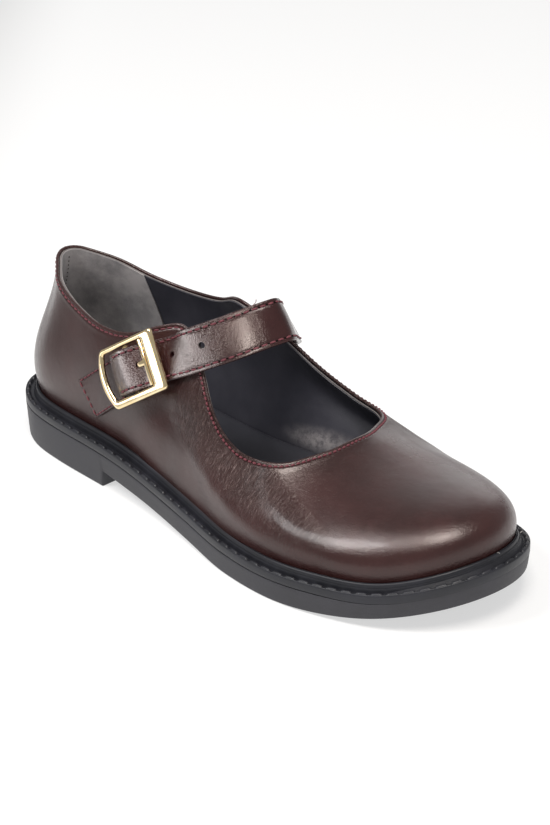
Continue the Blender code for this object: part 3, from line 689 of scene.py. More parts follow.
def wall(angles, near, rest):
    """Outer face and its normals: rows at the given ways down, m, then evenly to the featherline."""
    ribs = ribs_at(angles)
    steps = np.linalg.norm(np.diff(ribs, axis=0), axis=2)
    way = np.vstack([np.zeros(len(angles)), np.cumsum(steps, axis=0)])
    near = np.array(near, float)
    share = np.linspace(0, 1, rest + 1)[1:]
    rows = np.empty((len(near) + rest, len(angles), 3))
    downs = np.empty((len(near) + rest, len(angles)))
    for k in range(len(angles)):
        downs[:, k] = np.r_[near, near[-1] + share * (way[-1, k] - near[-1])]
        rows[:, k] = read_line(downs[:, k], way[:, k], ribs[:, k])
    along = np.roll(rows, -1, 1) - np.roll(rows, 1, 1)
    return rows, unit(np.cross(np.gradient(rows, axis=0), along)), downs


def swelling(values, height, middle, width):
    """Soft rise round one place, or a hollow where the height is negative."""
    return height * np.exp(-((values - middle) / width) ** 2)


def flex(rows, downs):
    """How far lasting and flexing have pushed the leather in or out, m."""
    x, y, z = np.moveaxis(rows, -1, 0) / MM
    d = downs / MM
    side, below_edge = ramp(np.abs(y), *FLANK), ramp(d, *BELOW_EDGE)
    total = np.zeros_like(x)
    waver, every = FOLD_WAVE
    for top, foot, width, depth in zip(*FOLDS.values()):
        line = top + (foot - top) * np.clip(d / FOLD_RUN, 0, 1.4) + waver * np.sin(d / every + top)
        total -= swelling(x, depth, line, width)
    total *= side * ramp(z, *OVER_SOLE) * below_edge * MM
    hollow, foot = (curve_through(FORM["x"], FORM[name], x) for name in ("hollow", "foot"))
    total -= swelling(z, hollow, *HOLLOW_AT) * side * MM
    feather = curve_through(RIM["s"], RIM["height"], x * MM / SOLE_LENGTH + 0.5) + BEAD_HEIGHT / MM
    total += swelling(z, foot, feather, FOOT_REACH) * side * MM
    field = ramp(np.abs(y) - x * 0.2, *CRINKLE_OUT) * ramp(z + x * 0.25, *CRINKLE_UP) * below_edge
    field *= ramp(x, *CRINKLE_REAR) * ramp(x, *CRINKLE_FRONT)
    rough = np.zeros_like(x)
    for i, j in np.argwhere(field > 0.02):
        place = np.array((x[i, j], y[i, j], z[i, j]))
        p = Vector(place * CRINKLE_GRAIN)
        p.x += 1.3 * noise.noise(Vector(place * CRINKLE_WANDER))
        rough[i, j] = noise.noise(p) + 0.5 * noise.noise(p * 2.1)
    return total + rough * field * CRINKLE


def oxblood(name, deep, rich, dull, grain, wrinkled):
    """Aniline-dyed smooth leather under a glossy top coat: brown burned into wine red. Where it is
    wrinkled, fine hair lines cross the outer flank of the vamp and have scuffed its coat; their pale
    lines are partly that scuffing and partly painted glints."""
    made, shader, place = finish(name, Specular_IOR_Level=0.5, Specular_Tint=(1.0, 0.90, 0.87, 1),
                                 Coat_Roughness=0.15, Coat_IOR=1.5)
    clouds = place.cloud(28, 4, 0.55).rise(0.3, 0.72)
    pores = place.cells(1500)
    colour = clouds.blend(deep, rich)
    colour = ((1 - pores.rise(0.0, 0.06)) * 0.35).blend(colour, (0.014, 0.006, 0.006, 1))
    gloss = clouds * 0.05 + place.cloud(220, 4) * 0.08 + dull
    coat = place.cloud(120, 3) * 0.15 + 0.05
    reliefs = [(place.cloud(1100, 4, 0.65), grain), (pores, grain * 0.6), (place.cloud(140, 2), 0.12)]
    x, y, z = (place.along(axis) for axis in range(3))
    if wrinkled:
        off_middle = y - float(SETTLE[1])
        off_middle = place.node("Math", {"operation": "ABSOLUTE"}, {0: off_middle})
        up = z + x * 0.25
        field = (off_middle - x * 0.2).rise(*HAIR_OUT) * up.rise(*HAIR_UP)
        field = field * x.rise(*HAIR_REAR) * (1 - x.rise(*HAIR_FRONT))
        patch_share = field * (1 - x.rise(*SCUFF_AND_GLINT_FRONT)) * (1 - up.rise(*SCUFF_AND_GLINT_UP) * 0.7)
        hairs = place.node(
            "TexNoise", {}, {"Vector": place.stretched((0, 0.25, 0), HAIR_STRETCH), "Scale": 1.0,
                             "Detail": 4.0, "Roughness": 0.6, "Distortion": 1.1})
        reliefs.append((hairs * field, 1.3))
        gloss = gloss + y.rise(0.012, 0.036) * 0.12 + patch_share * 0.13
        coat = coat * (1 - patch_share * 0.8)
        # pale hair lines: partly the scuffed coat, partly painted glints of the crinkles
        colour = (hairs.rise(0.51, 0.63) * patch_share * 0.62).blend(colour, HAIR_SCUFF_AND_GLINT_TONE)
    else:
        reliefs.append((place.cloud(1500, 2) * (1 - x.rise(0.001, 0.008)), 0.30))
    made.node_tree.links.new(coat.socket, shader.inputs["Coat Weight"])
    dress(shader, colour, gloss, *reliefs)
    return made


upper_leather = oxblood("oxblood_upper_leather", (0.0265, 0.0098, 0.0093, 1), (0.047, 0.0162, 0.0156, 1),
                        dull=0.17, grain=0.12, wrinkled=True)
strap_leather = oxblood("oxblood_strap_leather", (0.022, 0.0065, 0.0067, 1), (0.040, 0.0113, 0.0115, 1),
                        dull=0.09, grain=0.075, wrinkled=False)

# closest together where the folds and the crinkles run
wall_angles = np.r_[np.arange(0, 80, 1.0), np.arange(80, 156, 0.32), np.arange(156, 204, 1.0),
                    np.arange(204, 280, 0.6), np.arange(280, 360, 1.0)]
NEAR = np.array((0.3, 0.6, 0.95, 1.25, 1.55, 1.85, 2.2, 2.7, 3.4, 4.2)) * MM


def turned(first, second, angle):
    """The first direction turned towards the second, by radians."""
    return first * math.cos(angle) + second * math.sin(angle)


def build_upper():
    rows, normals, downs = wall(wall_angles, NEAR, OUTER_ROWS)
    pushed = flex(rows, downs) + swelling(downs, *STITCH_PULL) + swelling(downs, *FOLD_SWELL)
    outside = rows + normals * pushed[..., None]
    outside[:, 0] -= normals[:, 0] * SEAM_SUNK
    inside = rows - normals * LEATHER
    inside = list(inside[:INNER_DEEP]) + list(inside[INNER_DEEP::INNER_STRIDE])
    rise = unit(rows[0] - rows[1])
    centre = rows[0] - normals[0] * LEATHER / 2
    fold = []
    for turn in np.linspace(0, math.pi, FOLD_STEPS + 2)[1:-1]:
        fold.append(centre + turned(normals[0], rise, turn) * LEATHER / 2)
    out = np.c_[outward(wall_angles), np.zeros(len(wall_angles))]
    foot = rim_line(wall_angles) - FOOT_DROP
    outer_foot, inner_foot = outside[-1].copy(), rows[-1] - out * LEATHER
    inner_foot[:, 2] = outer_foot[:, 2] = foot
    loops = list(outside[::-1]) + fold + inside + [inner_foot, outer_foot]
    return np.vstack(loops), weave(len(loops), len(wall_angles), True, True)


upper = piece("leather_upper", *build_upper(), upper_leather, "oxblood_leather", ("upper",), 60)


# Linings. Grey suede pigskin grips the heel as far as the middle of the quarters; from there
# forward the lining is smooth black leather. Its trimmed edge shows as a pale line in the collar.

LINING_OUT = 1.6 * MM
LINING_DEEP = 2.6 * MM
LINING_TOP = np.array((0.55, 1.0, 1.8, 3.0)) * MM
LINING_ROWS = 26
LINING_FOOT = 3.3 * MM
LINING_GAP = 0.15
HEEL_LINING_END = 46.6
# degrees that its front ends have swung forward at that depth, and the most of it further down
LINING_SWING = 4.4
LINING_SWING_DEPTH = 21.0 * MM
SWING_MOST = 1.6
SWING_ROOM = 8
LINING_BEVEL = 0.3
# where a pale patch is painted on the forward lining as a sheen, m
PAINTED_SHEEN_PLACE = (0.0066, 0.0325, 0.0385)
EDGE_DEPTH = 2.0 * MM
EDGE_HALF_WIDTH = 0.24 * MM
EDGE_HALF_HEIGHT = 0.25 * MM
EDGE_SUNK = 0.1 * MM


def suede(name, dark, light):
    """Grey suede: short brushed nap, patchy where fingers have laid it over."""
    made, shader, place = finish(name, Specular_IOR_Level=0.15, Sheen_Weight=0.35, Sheen_Roughness=0.5)
    patches = place.cloud(55, 6, 0.65).rise(0.32, 0.7)
    nap = place.cloud(1800, 4, 0.7)
    colour = (patches * 0.65 + nap * 0.35).blend(dark, light)
    dress(shader, colour, nap * 0.1 + 0.8, (nap, 0.12), (place.cloud(300, 3), 0.12))
    return made


grey_suede = suede("grey_heel_suede", (0.155, 0.15, 0.157, 1), (0.50, 0.465, 0.465, 1))
lining_leather = black_leather("black_lining_leather", (0.040, 0.040, 0.052, 1), (0.066, 0.065, 0.080, 1),
                               dull=0.3, pore=1600, depth=0.03, sheen_place=PAINTED_SHEEN_PLACE)
edge_tone = dusty("trimmed_lining_edge", 0.2, (700, 3), (0.12, 0.11, 0.105, 1), (0.30, 0.27, 0.26, 1),
                  500, 0.7, (2500, 2), 0.05)


def wall_open(angles, near, rest):
    """wall() for a run of angles that doesn't close round the foot."""
    padded = np.r_[angles[0] - 0.5, angles, angles[-1] + 0.5] % 360
    rows, normals, downs = wall(padded, near, rest)
    return rows[:, 1:-1], normals[:, 1:-1], downs[:, 1:-1]


def lining(name, start, end, turn, tone):
    """Lining between two angles at the top; far down both ends have swung round by turn."""
    angles = np.arange(start - SWING_ROOM, end + SWING_ROOM + 0.5, 0.5)
    rows, normals, downs = wall_open(angles % 360, LINING_TOP, LINING_ROWS)
    outward_flat = np.c_[outward(angles % 360), np.zeros(len(angles))]
    rows, normals = np.vstack([rows, rows[-1:]]), np.vstack([normals, outward_flat[None]])
    rows[-1, :, 2] = rim_line(angles % 360) - LINING_FOOT
    outside, inside = rows - normals * LINING_OUT, rows - normals * LINING_DEEP
    inside[0] -= (rows[0] - rows[1]) * LINING_BEVEL
    swing = np.clip(np.append(downs[:, 0], downs[-1, 0]) / LINING_SWING_DEPTH, 0, SWING_MOST) * turn
    count = int(round(end - start)) + 1
    loops = []
    for face, swings in ((outside[::-1], swing[::-1]), (inside, swing)):
        for line, swung in zip(face, swings):
            loops.append(read_line(np.linspace(start - swung, end + swung, count), angles, line))
    faces = weave(len(loops), count, True, False)
    for edge in (0, count - 1):
        faces.append(tuple(k * count + edge for k in range(len(loops))))
    return piece(name, np.vstack(loops), faces, tone, "black_lining_leather", (), 45)


lining("heel_lining", -HEEL_LINING_END, HEEL_LINING_END, LINING_SWING, grey_suede)
lining("forward_lining", HEEL_LINING_END + LINING_GAP, 360 - HEEL_LINING_END - LINING_GAP,
       -LINING_SWING, lining_leather)


def lining_edge():
    """Raw edge of the lining, a pale bead all round the collar and the throat."""
    angles = np.arange(0, 360, 1.0)
    rows, normals, _ = wall(angles, (0.45 * MM, 0.8 * MM), 2)
    rise = unit(rows[0] - rows[1])
    centre = rows[0] - normals[0] * EDGE_DEPTH
    loops = []
    for turn in np.radians(np.arange(0, 360, 45)):
        side = normals[0] * math.cos(turn) * EDGE_HALF_WIDTH
        loops.append(centre + side + rise * (math.sin(turn) * EDGE_HALF_HEIGHT - EDGE_SUNK))
    return np.vstack(loops), weave(len(loops), len(angles), True, True)


piece("lining_edge", *lining_edge(), edge_tone, "black_lining_leather")


# Edge stitching. Crimson thread, one row round the throat and a longer-stitched one round the
# collar, each stitch drawn down into its dark needle holes.

COLLAR_PITCH = 3.0 * MM
THROAT_PITCH = 2.2 * MM
THREAD_RADIUS = 0.36 * MM
THROAT_THREAD_RADIUS = 0.44 * MM
THREAD_SUNK = 0.22 * MM
STITCH_LEAN = 0.06
HOLE_RADIUS = 0.42 * MM
HOLE_SQUEEZE = 0.85
HOLE_TAPER = 0.8
HOLE_PROUD = 0.02 * MM
HOLE_DEEP = 0.2 * MM
EAR_ANGLE = 81.0

thread_tone, thread_shader, thread_place = finish("crimson_thread", Specular_IOR_Level=0.35)
twist = thread_place.cloud(2600, 2)
dress(thread_shader, twist.blend((0.09, 0.017, 0.025, 1), (0.24, 0.070, 0.086, 1)),
      twist * 0.1 + 0.5, (twist, 0.06))
hole_tone = dusty("needle_hole_shade", 0.1, (900, 2), (0.004, 0.002, 0.002, 1), (0.011, 0.005, 0.005, 1),
                  500, 0.75, (2500, 2), 0.03)

# a stitch from end to end: place as a share of its length, then thickness and lift as shares of
# the thread's radius
STITCH_RINGS = ((-0.5, 0.25, -0.25), (-0.42, 0.75, 0.1), (-0.22, 1.0, 0.55), (0.0, 1.05, 0.7),
                (0.22, 1.0, 0.55), (0.42, 0.75, 0.1), (0.5, 0.25, -0.25))


def ring_of(first, second, count):
    """Points of a circle spanned by two directions."""
    turns = np.arange(count) * 2 * math.pi / count
    return np.outer(np.cos(turns), first) + np.outer(np.sin(turns), second)


def along_line(points, normals, pitch):
    """Evenly spaced places on a line: middle, direction, normal, and the true pitch."""
    way = way_along(points)
    count = max(1, int(round(way[-1] / pitch)))
    true = way[-1] / count
    at = (np.arange(count) + 0.5) * true
    run = unit(read_line(at + true / 4, way, points) - read_line(at - true / 4, way, points))
    return read_line(at, way, points), run, unit(read_line(at, way, normals)), true


def thread_row(store, points, normals, pitch, cover=0.80, radius=THREAD_RADIUS, hole=HOLE_RADIUS):
    """Adds a row of stitches and needle holes to the two lists of loops in store."""
    middles, runs, ups, true = along_line(points, normals, pitch)
    for index, (middle, run, up) in enumerate(zip(middles, runs, ups)):
        side = unit(np.cross(run, up))
        heading = unit(run + side * STITCH_LEAN * math.sin(index * 2.4))
        thread = ring_of(side, up, 6) * radius
        store["thread"].append(np.array([
            middle + heading * share * true * cover + up * lift * radius + thread * thick
            for share, thick, lift in STITCH_RINGS]))
        spot, brim = middle + run * true / 2, ring_of(side * HOLE_SQUEEZE, run, 8) * hole
        store["hole"].append(np.array([spot + brim + up * HOLE_PROUD,
                                       spot + brim * HOLE_TAPER - up * HOLE_DEEP]))


def sewn(store, name, slot):
    """Turns the gathered stitches and holes into their two pieces."""
    for kind, tone in (("thread", thread_tone), ("hole", hole_tone)):
        piece(f"{name}_{kind}s", *gathered(store[kind]), tone, slot, (), 70)


def topline_row(angles, down):
    """Line of stitches at one way down from the topline, sunk a little, with its normals."""
    rows, normals, _ = wall_open(angles, (down, down + 0.3 * MM), 2)
    return rows[0] - normals[0] * THREAD_SUNK, normals[0]


edge_stitches = {"thread": [], "hole": []}
throat_angles = np.arange(EAR_ANGLE, 360 - EAR_ANGLE, 0.5)
collar_angles = np.arange(-EAR_ANGLE, EAR_ANGLE + 0.1, 0.5) % 360
thread_row(edge_stitches, *topline_row(throat_angles, STITCH_DROP), THROAT_PITCH,
           radius=THROAT_THREAD_RADIUS)
thread_row(edge_stitches, *topline_row(collar_angles, STITCH_DROP), COLLAR_PITCH)
sewn(edge_stitches, "topline", "oxblood_leather")


# Back seam. The quarters are closed down the middle of the heel; its needle holes show through the
# heel lining beside the seam, and the ends of the collar's thread are tied off over the edge.

SEAM_ANGLE = -1.9
SEAM_PITCH = 1.9 * MM
SEAM_TOP = 2.0 * MM
SEAM_LENGTH = 26.0 * MM
SEAM_HOLE_RADIUS = 0.36 * MM
KNOT_LIFT = 1.2 * MM
KNOT_RADIUS = 0.26 * MM
STRAND_STEPS = 18

seam_marks = {"thread": [], "hole": []}
seam_downs = np.arange(SEAM_TOP, SEAM_LENGTH, 0.5 * MM)
seam_angles = (SEAM_ANGLE + np.array((-0.5, 0.0, 0.5))) % 360
seam_rows, seam_normals, _ = wall_open(seam_angles, seam_downs, 1)
seam_line = seam_rows[:-1, 1] - seam_normals[:-1, 1] * (LINING_DEEP + HOLE_PROUD)
thread_row(seam_marks, seam_line, -seam_normals[:-1, 1], SEAM_PITCH, hole=SEAM_HOLE_RADIUS)
piece("back_seam_holes", *gathered(seam_marks["hole"]), hole_tone, "black_lining_leather", (), 70)


def curve_rows(way, rows, at):
    """Smooth curves through the columns of a table, read at new places."""
    return np.array([curve_through(way, column, at) for column in rows.T]).T


def strand(path, radius):
    """Rings of a loose thread through a few points."""
    way = np.arange(len(path))
    run = curve_rows(way, path, np.linspace(0, way[-1], STRAND_STEPS))
    ahead = unit(np.gradient(run, axis=0))
    side = unit(np.cross(ahead, (0.31, 0.52, 0.79)))
    return np.array([place + ring_of(first, second, 6) * radius
                     for place, first, second in zip(run, side, np.cross(ahead, side))])


knot_place = seam_rows[0, 1] + np.array((0, 0, KNOT_LIFT))
knot = np.array(((-1.4, -0.6, -2.2), (-0.9, -0.9, -0.4), (0.1, 0.4, 0.7), (1.4, 0.9, 0.4), (1.2, -0.6, 0.3),
                 (0.2, -0.9, 0.8), (0.0, 0.9, 0.5), (1.0, 1.4, 0.2))) * MM * 0.8
piece("knotted_thread_end", *gathered([strand(knot_place + knot, KNOT_RADIUS)]), thread_tone,
      "oxblood_leather", (), 70)


# Strap. One band of the same leather, sewn flat to the inner quarter, arched over the instep and
# led through the buckle, with a stitched edge, a squared raw end and three punched holes.

BUCKLE_MIDDLE = np.array((-33.0, -34.2, 60.2)) * MM
BUCKLE_OUTWARD = (0.06, -0.975, 0.22)
BUCKLE_SLOPE = 34.0
STRAP_SLOPE = 32.0
STRAP_WIDTH = 18.0 * MM
STRAP_THICKNESS = 2.0 * MM
STRAP_EDGE = 0.62 * MM
STRAP_SEAM = 1.75 * MM
STRAP_PULL = 0.3 * MM
STRAP_RISE = 0.4 * MM
STRAP_STEP = 0.7 * MM
STRAP_CRISP = 40
STRAP_SEWING = {"pitch": 3.4 * MM, "cover": 0.72, "radius": 0.40 * MM, "hole": 0.52 * MM}
# rows of the strap that are stitched across where it is sewn down
SEWN_BOX = (-5, -24)
PULL_HALF_WIDTH = 0.5 * MM
BAND_LANES = 27
STRAP_THREAD_SUNK = 0.08 * MM
# middle line of the strap over the instep, mm, and how its width spreads towards the inner side
ARCH = {
    "x": (-5.7, 4.4, 12.0, 15.2, 16.5, 15.0, 11.0, 2.2, -8.0),
    "y": (-24.6, -17.8, -9.4, -4.1, 0.0, 4.0, 8.9, 18.5, 27.8),
    "z": (74.8, 79.9, 83.9, 85.5, 85.9, 84.4, 81.3, 74.8, 67.8),
    "spread": (0.0, 0.0, 0.0, 0.0, 0.0, 0.0, 0.0, 0.08, 0.2),
}
ARCH_TILT = 56.0
# at the buckle and where it is sewn down: place along the lead and lift over the leather, mm,
# the twist, and the place across, mm
STRAP_AT_BUCKLE = {
    "lead": (-11.7, -7.5, -3.5, 0.5, 4.5, 8.0, 14.0),
    "lift": (2.4, 4.0, 5.1, 4.1, 2.1, 1.8, 1.4),
    "twist": (0.0, 0.0, 0.0, 0.0, 3.0, 8.0, 14.0),
    "side": (-0.9, -0.9, -0.9, -0.9, -0.8, -0.6, -0.3),
}
STRAP_SEWN = {
    "lead": (-16.0, -8.0, 0.0, 8.0, 14.0),
    "lift": (0.7, 0.6, 0.6, 0.8, 1.2),
}
SEWN_LOWER = 5.0 * MM
# punched holes: where the first lies along the buckle's lead, their pitch and how far across
PUNCH_LEAD = 2.6 * MM
PUNCH_PITCH = 16.9 * MM
PUNCH_STEPS = 72
PUNCH_OFFSET = -0.8 * MM
PUNCH_RADIUS = 1.35 * MM
PUNCH_REACH = 2.5 * MM
# a loose end of thread: how far along the strap it sticks out, and the points it runs through, mm
LOOSE_SHARE = 0.44
LOOSE_RADIUS = 0.14 * MM
LOOSE_THREAD = ((0.0, 0.0, -0.4), (0.1, 0.4, 1.0), (0.9, 0.6, 1.9), (1.2, 0.6, 3.2))
# how far off the lines start that look for the leather's surface
ABOVE_BUCKLE = 30.0 * MM
BESIDE_SHOE = 200.0 * MM

skin_rows, _, _ = wall(np.arange(0, 360, 1.0), (0.0, 1.0 * MM), 44)
skin = BVHTree.FromPolygons([Vector(p) for p in skin_rows.reshape(-1, 3)],
                            weave(len(skin_rows), 360, False, True))


def downward(way):
    """The same line, pointing down."""
    return way if way[2] < 0 else -way


def buckle_axes(slope):
    """Middle of the buckle's upper face and its lead, downward and outward directions."""
    away = unit(np.array(BUCKLE_OUTWARD))
    slope = math.radians(slope)
    lead = np.array((math.cos(slope), 0.0, math.sin(slope)))
    lead = unit(lead - away * np.dot(away, lead))
    return BUCKLE_MIDDLE, lead, downward(np.cross(away, lead)), away


def over_quarter(place, away, lift):
    """Point at a given lift over the leather, straight under a place on the buckle's plane."""
    found = skin.ray_cast(Vector(place + away * ABOVE_BUCKLE), Vector(-away))[0]
    return np.array(found) + away * lift


def beside(x, z, side):
    """Point of the leather beside x and z on one side of the shoe, with its outward normal."""
    found, normal, _, _ = skin.ray_cast(Vector((x, side * BESIDE_SHOE, z)), Vector((0, -side, 0)))
    normal = np.array(normal)
    return np.array(found), normal if normal[1] * side > 0 else -normal


def strap_rows():
    """Rows of the strap's middle and width direction, from the buckled end to the sewn one."""
    middle, lead, down, away = buckle_axes(STRAP_SLOPE)
    half = STRAP_THICKNESS / 2
    rows = []
    for step, lift, twist, side in zip(*STRAP_AT_BUCKLE.values()):
        centre = over_quarter(middle + (lead * step + down * side) * MM, away, lift * MM + half)
        rows.append(np.r_[centre, turned(down, away, math.radians(twist))])
    tilt = math.radians(ARCH_TILT)
    for x, y, z, spread in zip(*ARCH.values()):
        rows.append(np.array((x * MM, y * MM, z * MM, math.cos(tilt), spread, -math.sin(tilt))))
    sewn_down = []
    for step, lift in zip(*STRAP_SEWN.values()):
        place = middle + lead * step * MM + down * SEWN_LOWER
        skin_point, normal = beside(place[0], place[2], 1)
        width = unit(downward(np.cross(normal, lead * (1, -1, 1))))
        sewn_down.append(np.r_[skin_point + normal * (lift * MM + half), width])
    return np.array(rows + sewn_down[::-1])


def resample(rows, spacing):
    """Smooth run through rows of points with extra columns, at an even spacing."""
    way = way_along(rows[:, :3])
    return curve_rows(way, rows, np.linspace(0, way[-1], int(round(way[-1] / spacing)) + 1))


def headings(points):
    """Direction ahead at each point of a line."""
    legs = unit(np.diff(points, axis=0))
    return unit(np.vstack([legs[:1], legs[:-1] + legs[1:], legs[-1:]]))


def frame_along(run):
    """Direction ahead, across and out of the face at each row of a run."""
    ahead = headings(run[:, :3])
    across = unit(run[:, 3:6] - ahead * np.sum(run[:, 3:6] * ahead, axis=1)[:, None])
    return ahead, across, np.cross(across, ahead)


def band_section(width, thickness, edge, seam, pull, rise):
    """Closed section of a leather band: rounded edges, a slight bulge, the thread's pull."""
    w, t = width / 2, thickness / 2
    corner = [(-w + edge - math.cos(turn) * edge, t - edge + math.sin(turn) * edge)
              for turn in np.radians((0, 30, 60, 90))]
    flat = np.linspace(-w + edge, w - edge, BAND_LANES)[1:-1]
    bulge = rise * (1 - (flat / w) ** 2)
    top = list(zip(flat, t + bulge - swelling(np.abs(flat), pull, w - seam, PULL_HALF_WIDTH)))
    under = [(0.02 * MM - w, edge - t), (edge - w, -t)]
    mirror = [[(-a, b) for a, b in side] for side in (corner[::-1], under)]
    return np.array(corner + top + mirror[0] + mirror[1] + [(0.0, -t)] + under[::-1])


def band(run, section):
    """Sections of a band along a run, one after another."""
    _, across, face = frame_along(run)
    return np.array([run[k, :3] + np.outer(section[:, 0], across[k]) + np.outer(section[:, 1], face[k])
                     for k in range(len(run))])


strap_run = resample(strap_rows(), STRAP_STEP)
strap_section = band_section(STRAP_WIDTH, STRAP_THICKNESS, STRAP_EDGE, STRAP_SEAM, STRAP_PULL, STRAP_RISE)
strap = piece("leather_strap", *gathered([band(strap_run, strap_section)]), strap_leather,
              "oxblood_leather", ("strap",), STRAP_CRISP)


def strap_holes():
    """Middle and axis of each punched hole, the first at the tip of the buckle's hook."""
    fine = resample(strap_rows(), PUNCH_PITCH / PUNCH_STEPS)
    middle, lead, _, away = buckle_axes(STRAP_SLOPE)
    lift = float(curve_through(STRAP_AT_BUCKLE["lead"], STRAP_AT_BUCKLE["lift"], np.array(PUNCH_LEAD / MM)))
    target = over_quarter(middle + lead * PUNCH_LEAD, away, lift * MM + STRAP_THICKNESS / 2)
    first = int(np.argmin(np.linalg.norm(fine[:, :3] - target, axis=1)))
    ahead, across, face = frame_along(fine)
    rows = first + PUNCH_STEPS * np.arange(3)
    middles = fine[rows, :3] + fine[rows, 3:6] * PUNCH_OFFSET
    return zip(middles, face[rows], across[rows], ahead[rows])


for middle, out, across, ahead in strap_holes():
    ring = middle + ring_of(across, ahead, 28) * PUNCH_RADIUS
    tube = np.array([ring + out * side * PUNCH_REACH for side in (-1, 1)])
    punch = placed("punch", closed_mesh("punch", *gathered([tube])))
    cut = strap.modifiers.new("punched_hole", "BOOLEAN")
    cut.operation, cut.solver, cut.object = "DIFFERENCE", "EXACT", punch
    graph = bpy.context.evaluated_depsgraph_get()
    graph.update()
    punched = bpy.data.meshes.new_from_object(strap.evaluated_get(graph))
    strap.modifiers.remove(cut)
    strap.data = punched
    bpy.data.objects.remove(punch)
strap.data.set_sharp_from_angle(angle=math.radians(STRAP_CRISP))


def band_line(run, place, lift, first, last):
    """Line along a band at a place across its width, with the face's normals."""
    _, across, face = (rows[first:last] for rows in frame_along(run))
    return run[first:last, :3] + across * place + face * lift, face


def cross_line(run, row, half, lift):
    """Line across a band at one of its rows, with the face's normals."""
    _, across, face = (rows[row] for rows in frame_along(run))
    line = run[row, :3] + face * lift + np.outer(np.linspace(-half, half, 12), across)
    return line, np.tile(face, (12, 1))


def band_stitches(run, half, level, first, last, crossings, **thread):
    """Stitches along both edges of a band and across some of its rows."""
    store = {"thread": [], "hole": []}
    for side in (-1, 1):
        thread_row(store, *band_line(run, side * half, level, first, last), **thread)
    for row in crossings:
        thread_row(store, *cross_line(run, row, half, level), **thread)
    return store


edge_line = STRAP_WIDTH / 2 - STRAP_SEAM
surface = STRAP_THICKNESS / 2 - STRAP_THREAD_SUNK
strap_stitches = band_stitches(strap_run, edge_line, surface, 3, -4, SEWN_BOX, **STRAP_SEWING)
loose = int(len(strap_run) * LOOSE_SHARE)
loose_foot, _ = band_line(strap_run, -edge_line - 1.0 * MM, surface, loose, loose + 1)
strap_stitches["thread"].append(strand(loose_foot[0] + np.array(LOOSE_THREAD) * MM, LOOSE_RADIUS))
sewn(strap_stitches, "strap", "oxblood_leather")


# Chape. Short tab of the same leather that holds the buckle: sewn to the outer quarter along a
# crimson rectangle, then folded round the buckle's bar and back over itself.

# middle of its sewn end, x and z, mm
CHAPE_END = (-66.8, 35.8)
CHAPE_WIDTH = 17.8 * MM
CHAPE_THICKNESS = 1.1 * MM
CHAPE_EDGE = 0.4 * MM
CHAPE_SEAM = 0.95 * MM
CHAPE_PULL = 0.12 * MM
CHAPE_RISE = 0.08 * MM
CHAPE_STEP = 0.6 * MM
CHAPE_ROWS = 9
CHAPE_FOLD = 4.5 * MM
CHAPE_LIFT = 0.6 * MM
CHAPE_THREAD_SUNK = 0.03 * MM
CHAPE_SEWING = {"pitch": 3.0 * MM, "radius": 0.30 * MM}
FOLD_CLEARANCE = 0.35 * MM
BAR_LEAD = -3.5 * MM
BAR_SIDE = -0.8 * MM
BAR_HEIGHT = 1.2 * MM
BAR_WIDTH = 2.6 * MM
# the fold round the bar, and how the tab falls back to lie on itself behind it
FOLD_ANGLES = (-60, -30, 0, 30, 60, 90)
FOLD_BACK = {"share": (0.22, 0.45, 0.7, 1.0), "fall": (0.02, 0.45, 0.85, 1.0)}


def chape_rows():
    """Rows of the chape's middle and width direction, from its sewn end round the bar and back."""
    middle, lead, down, away = buckle_axes(BUCKLE_SLOPE)
    bar_foot = over_quarter(middle + lead * BAR_LEAD + down * BAR_SIDE, away, 0.0)
    end = np.array((CHAPE_END[0] * MM, 0.0, CHAPE_END[1] * MM))
    low = CHAPE_LIFT + CHAPE_THICKNESS / 2
    bar_level = CHAPE_LIFT + CHAPE_THICKNESS + FOLD_CLEARANCE + BAR_HEIGHT / 2
    turn = bar_level - low
    run = unit(np.array((bar_foot[0] - end[0], 0.0, bar_foot[2] - end[2])))
    rows = []
    for share in np.linspace(0, 1, CHAPE_ROWS):
        x, z = end[0] + share * (bar_foot[0] - end[0]), end[2] + share * (bar_foot[2] - end[2])
        skin_point, normal = beside(x, z, -1)
        facing = unit(normal * (1 - share) + away * share)
        across = unit(downward(np.cross(facing, run)))
        rows.append(np.r_[skin_point + facing * low, unit(across * (1 - share) + down * share)])
    centre = bar_foot + away * bar_level
    stretch = BAR_WIDTH / 2 - turn / 3
    rows[-1] = np.r_[bar_foot + away * low + lead * stretch, down]
    for angle in np.radians(FOLD_ANGLES):
        rows.append(np.r_[centre + lead * stretch + turned(lead, away, angle) * turn, down])
    top_level, resting = bar_level + turn, low + CHAPE_THICKNESS + FOLD_CLEARANCE
    for share, fall in zip(*FOLD_BACK.values()):
        level = top_level + (resting - top_level) * fall
        rows.append(np.r_[bar_foot + away * level - lead * CHAPE_FOLD * share, down])
    return np.array(rows)


chape_run = resample(chape_rows(), CHAPE_STEP)
chape_section = band_section(CHAPE_WIDTH, CHAPE_THICKNESS, CHAPE_EDGE, CHAPE_SEAM, CHAPE_PULL, CHAPE_RISE)
piece("chape_tab", *gathered([band(chape_run, chape_section)]), strap_leather, "oxblood_leather",
      ("chape",), 40)

chape_edge = CHAPE_WIDTH / 2 - CHAPE_SEAM
chape_level = CHAPE_THICKNESS / 2 - CHAPE_THREAD_SUNK
chape_stitches = band_stitches(chape_run, chape_edge, chape_level, 2, 48, (2,), **CHAPE_SEWING)
sewn(chape_stitches, "chape", "oxblood_leather")


# Buckle. Die-cast frame with a wide flat front band and a bowed rear side, polished and plated in
# pale gold; a staple bar under it holds the chape, and a cross rod carries the short hook.

# outer line of the frame and its opening, in the buckle's lead and down directions, mm
FRAME = {
    "rear": (-15.4, -14.1),
    "front": (15.0, 8.5),
    "top": (-13.4, -11.1),
    "bottom": (12.0, 8.5),
    "corner": (1.5, 0.8),
    "bow": (4.0, 2.2),
}
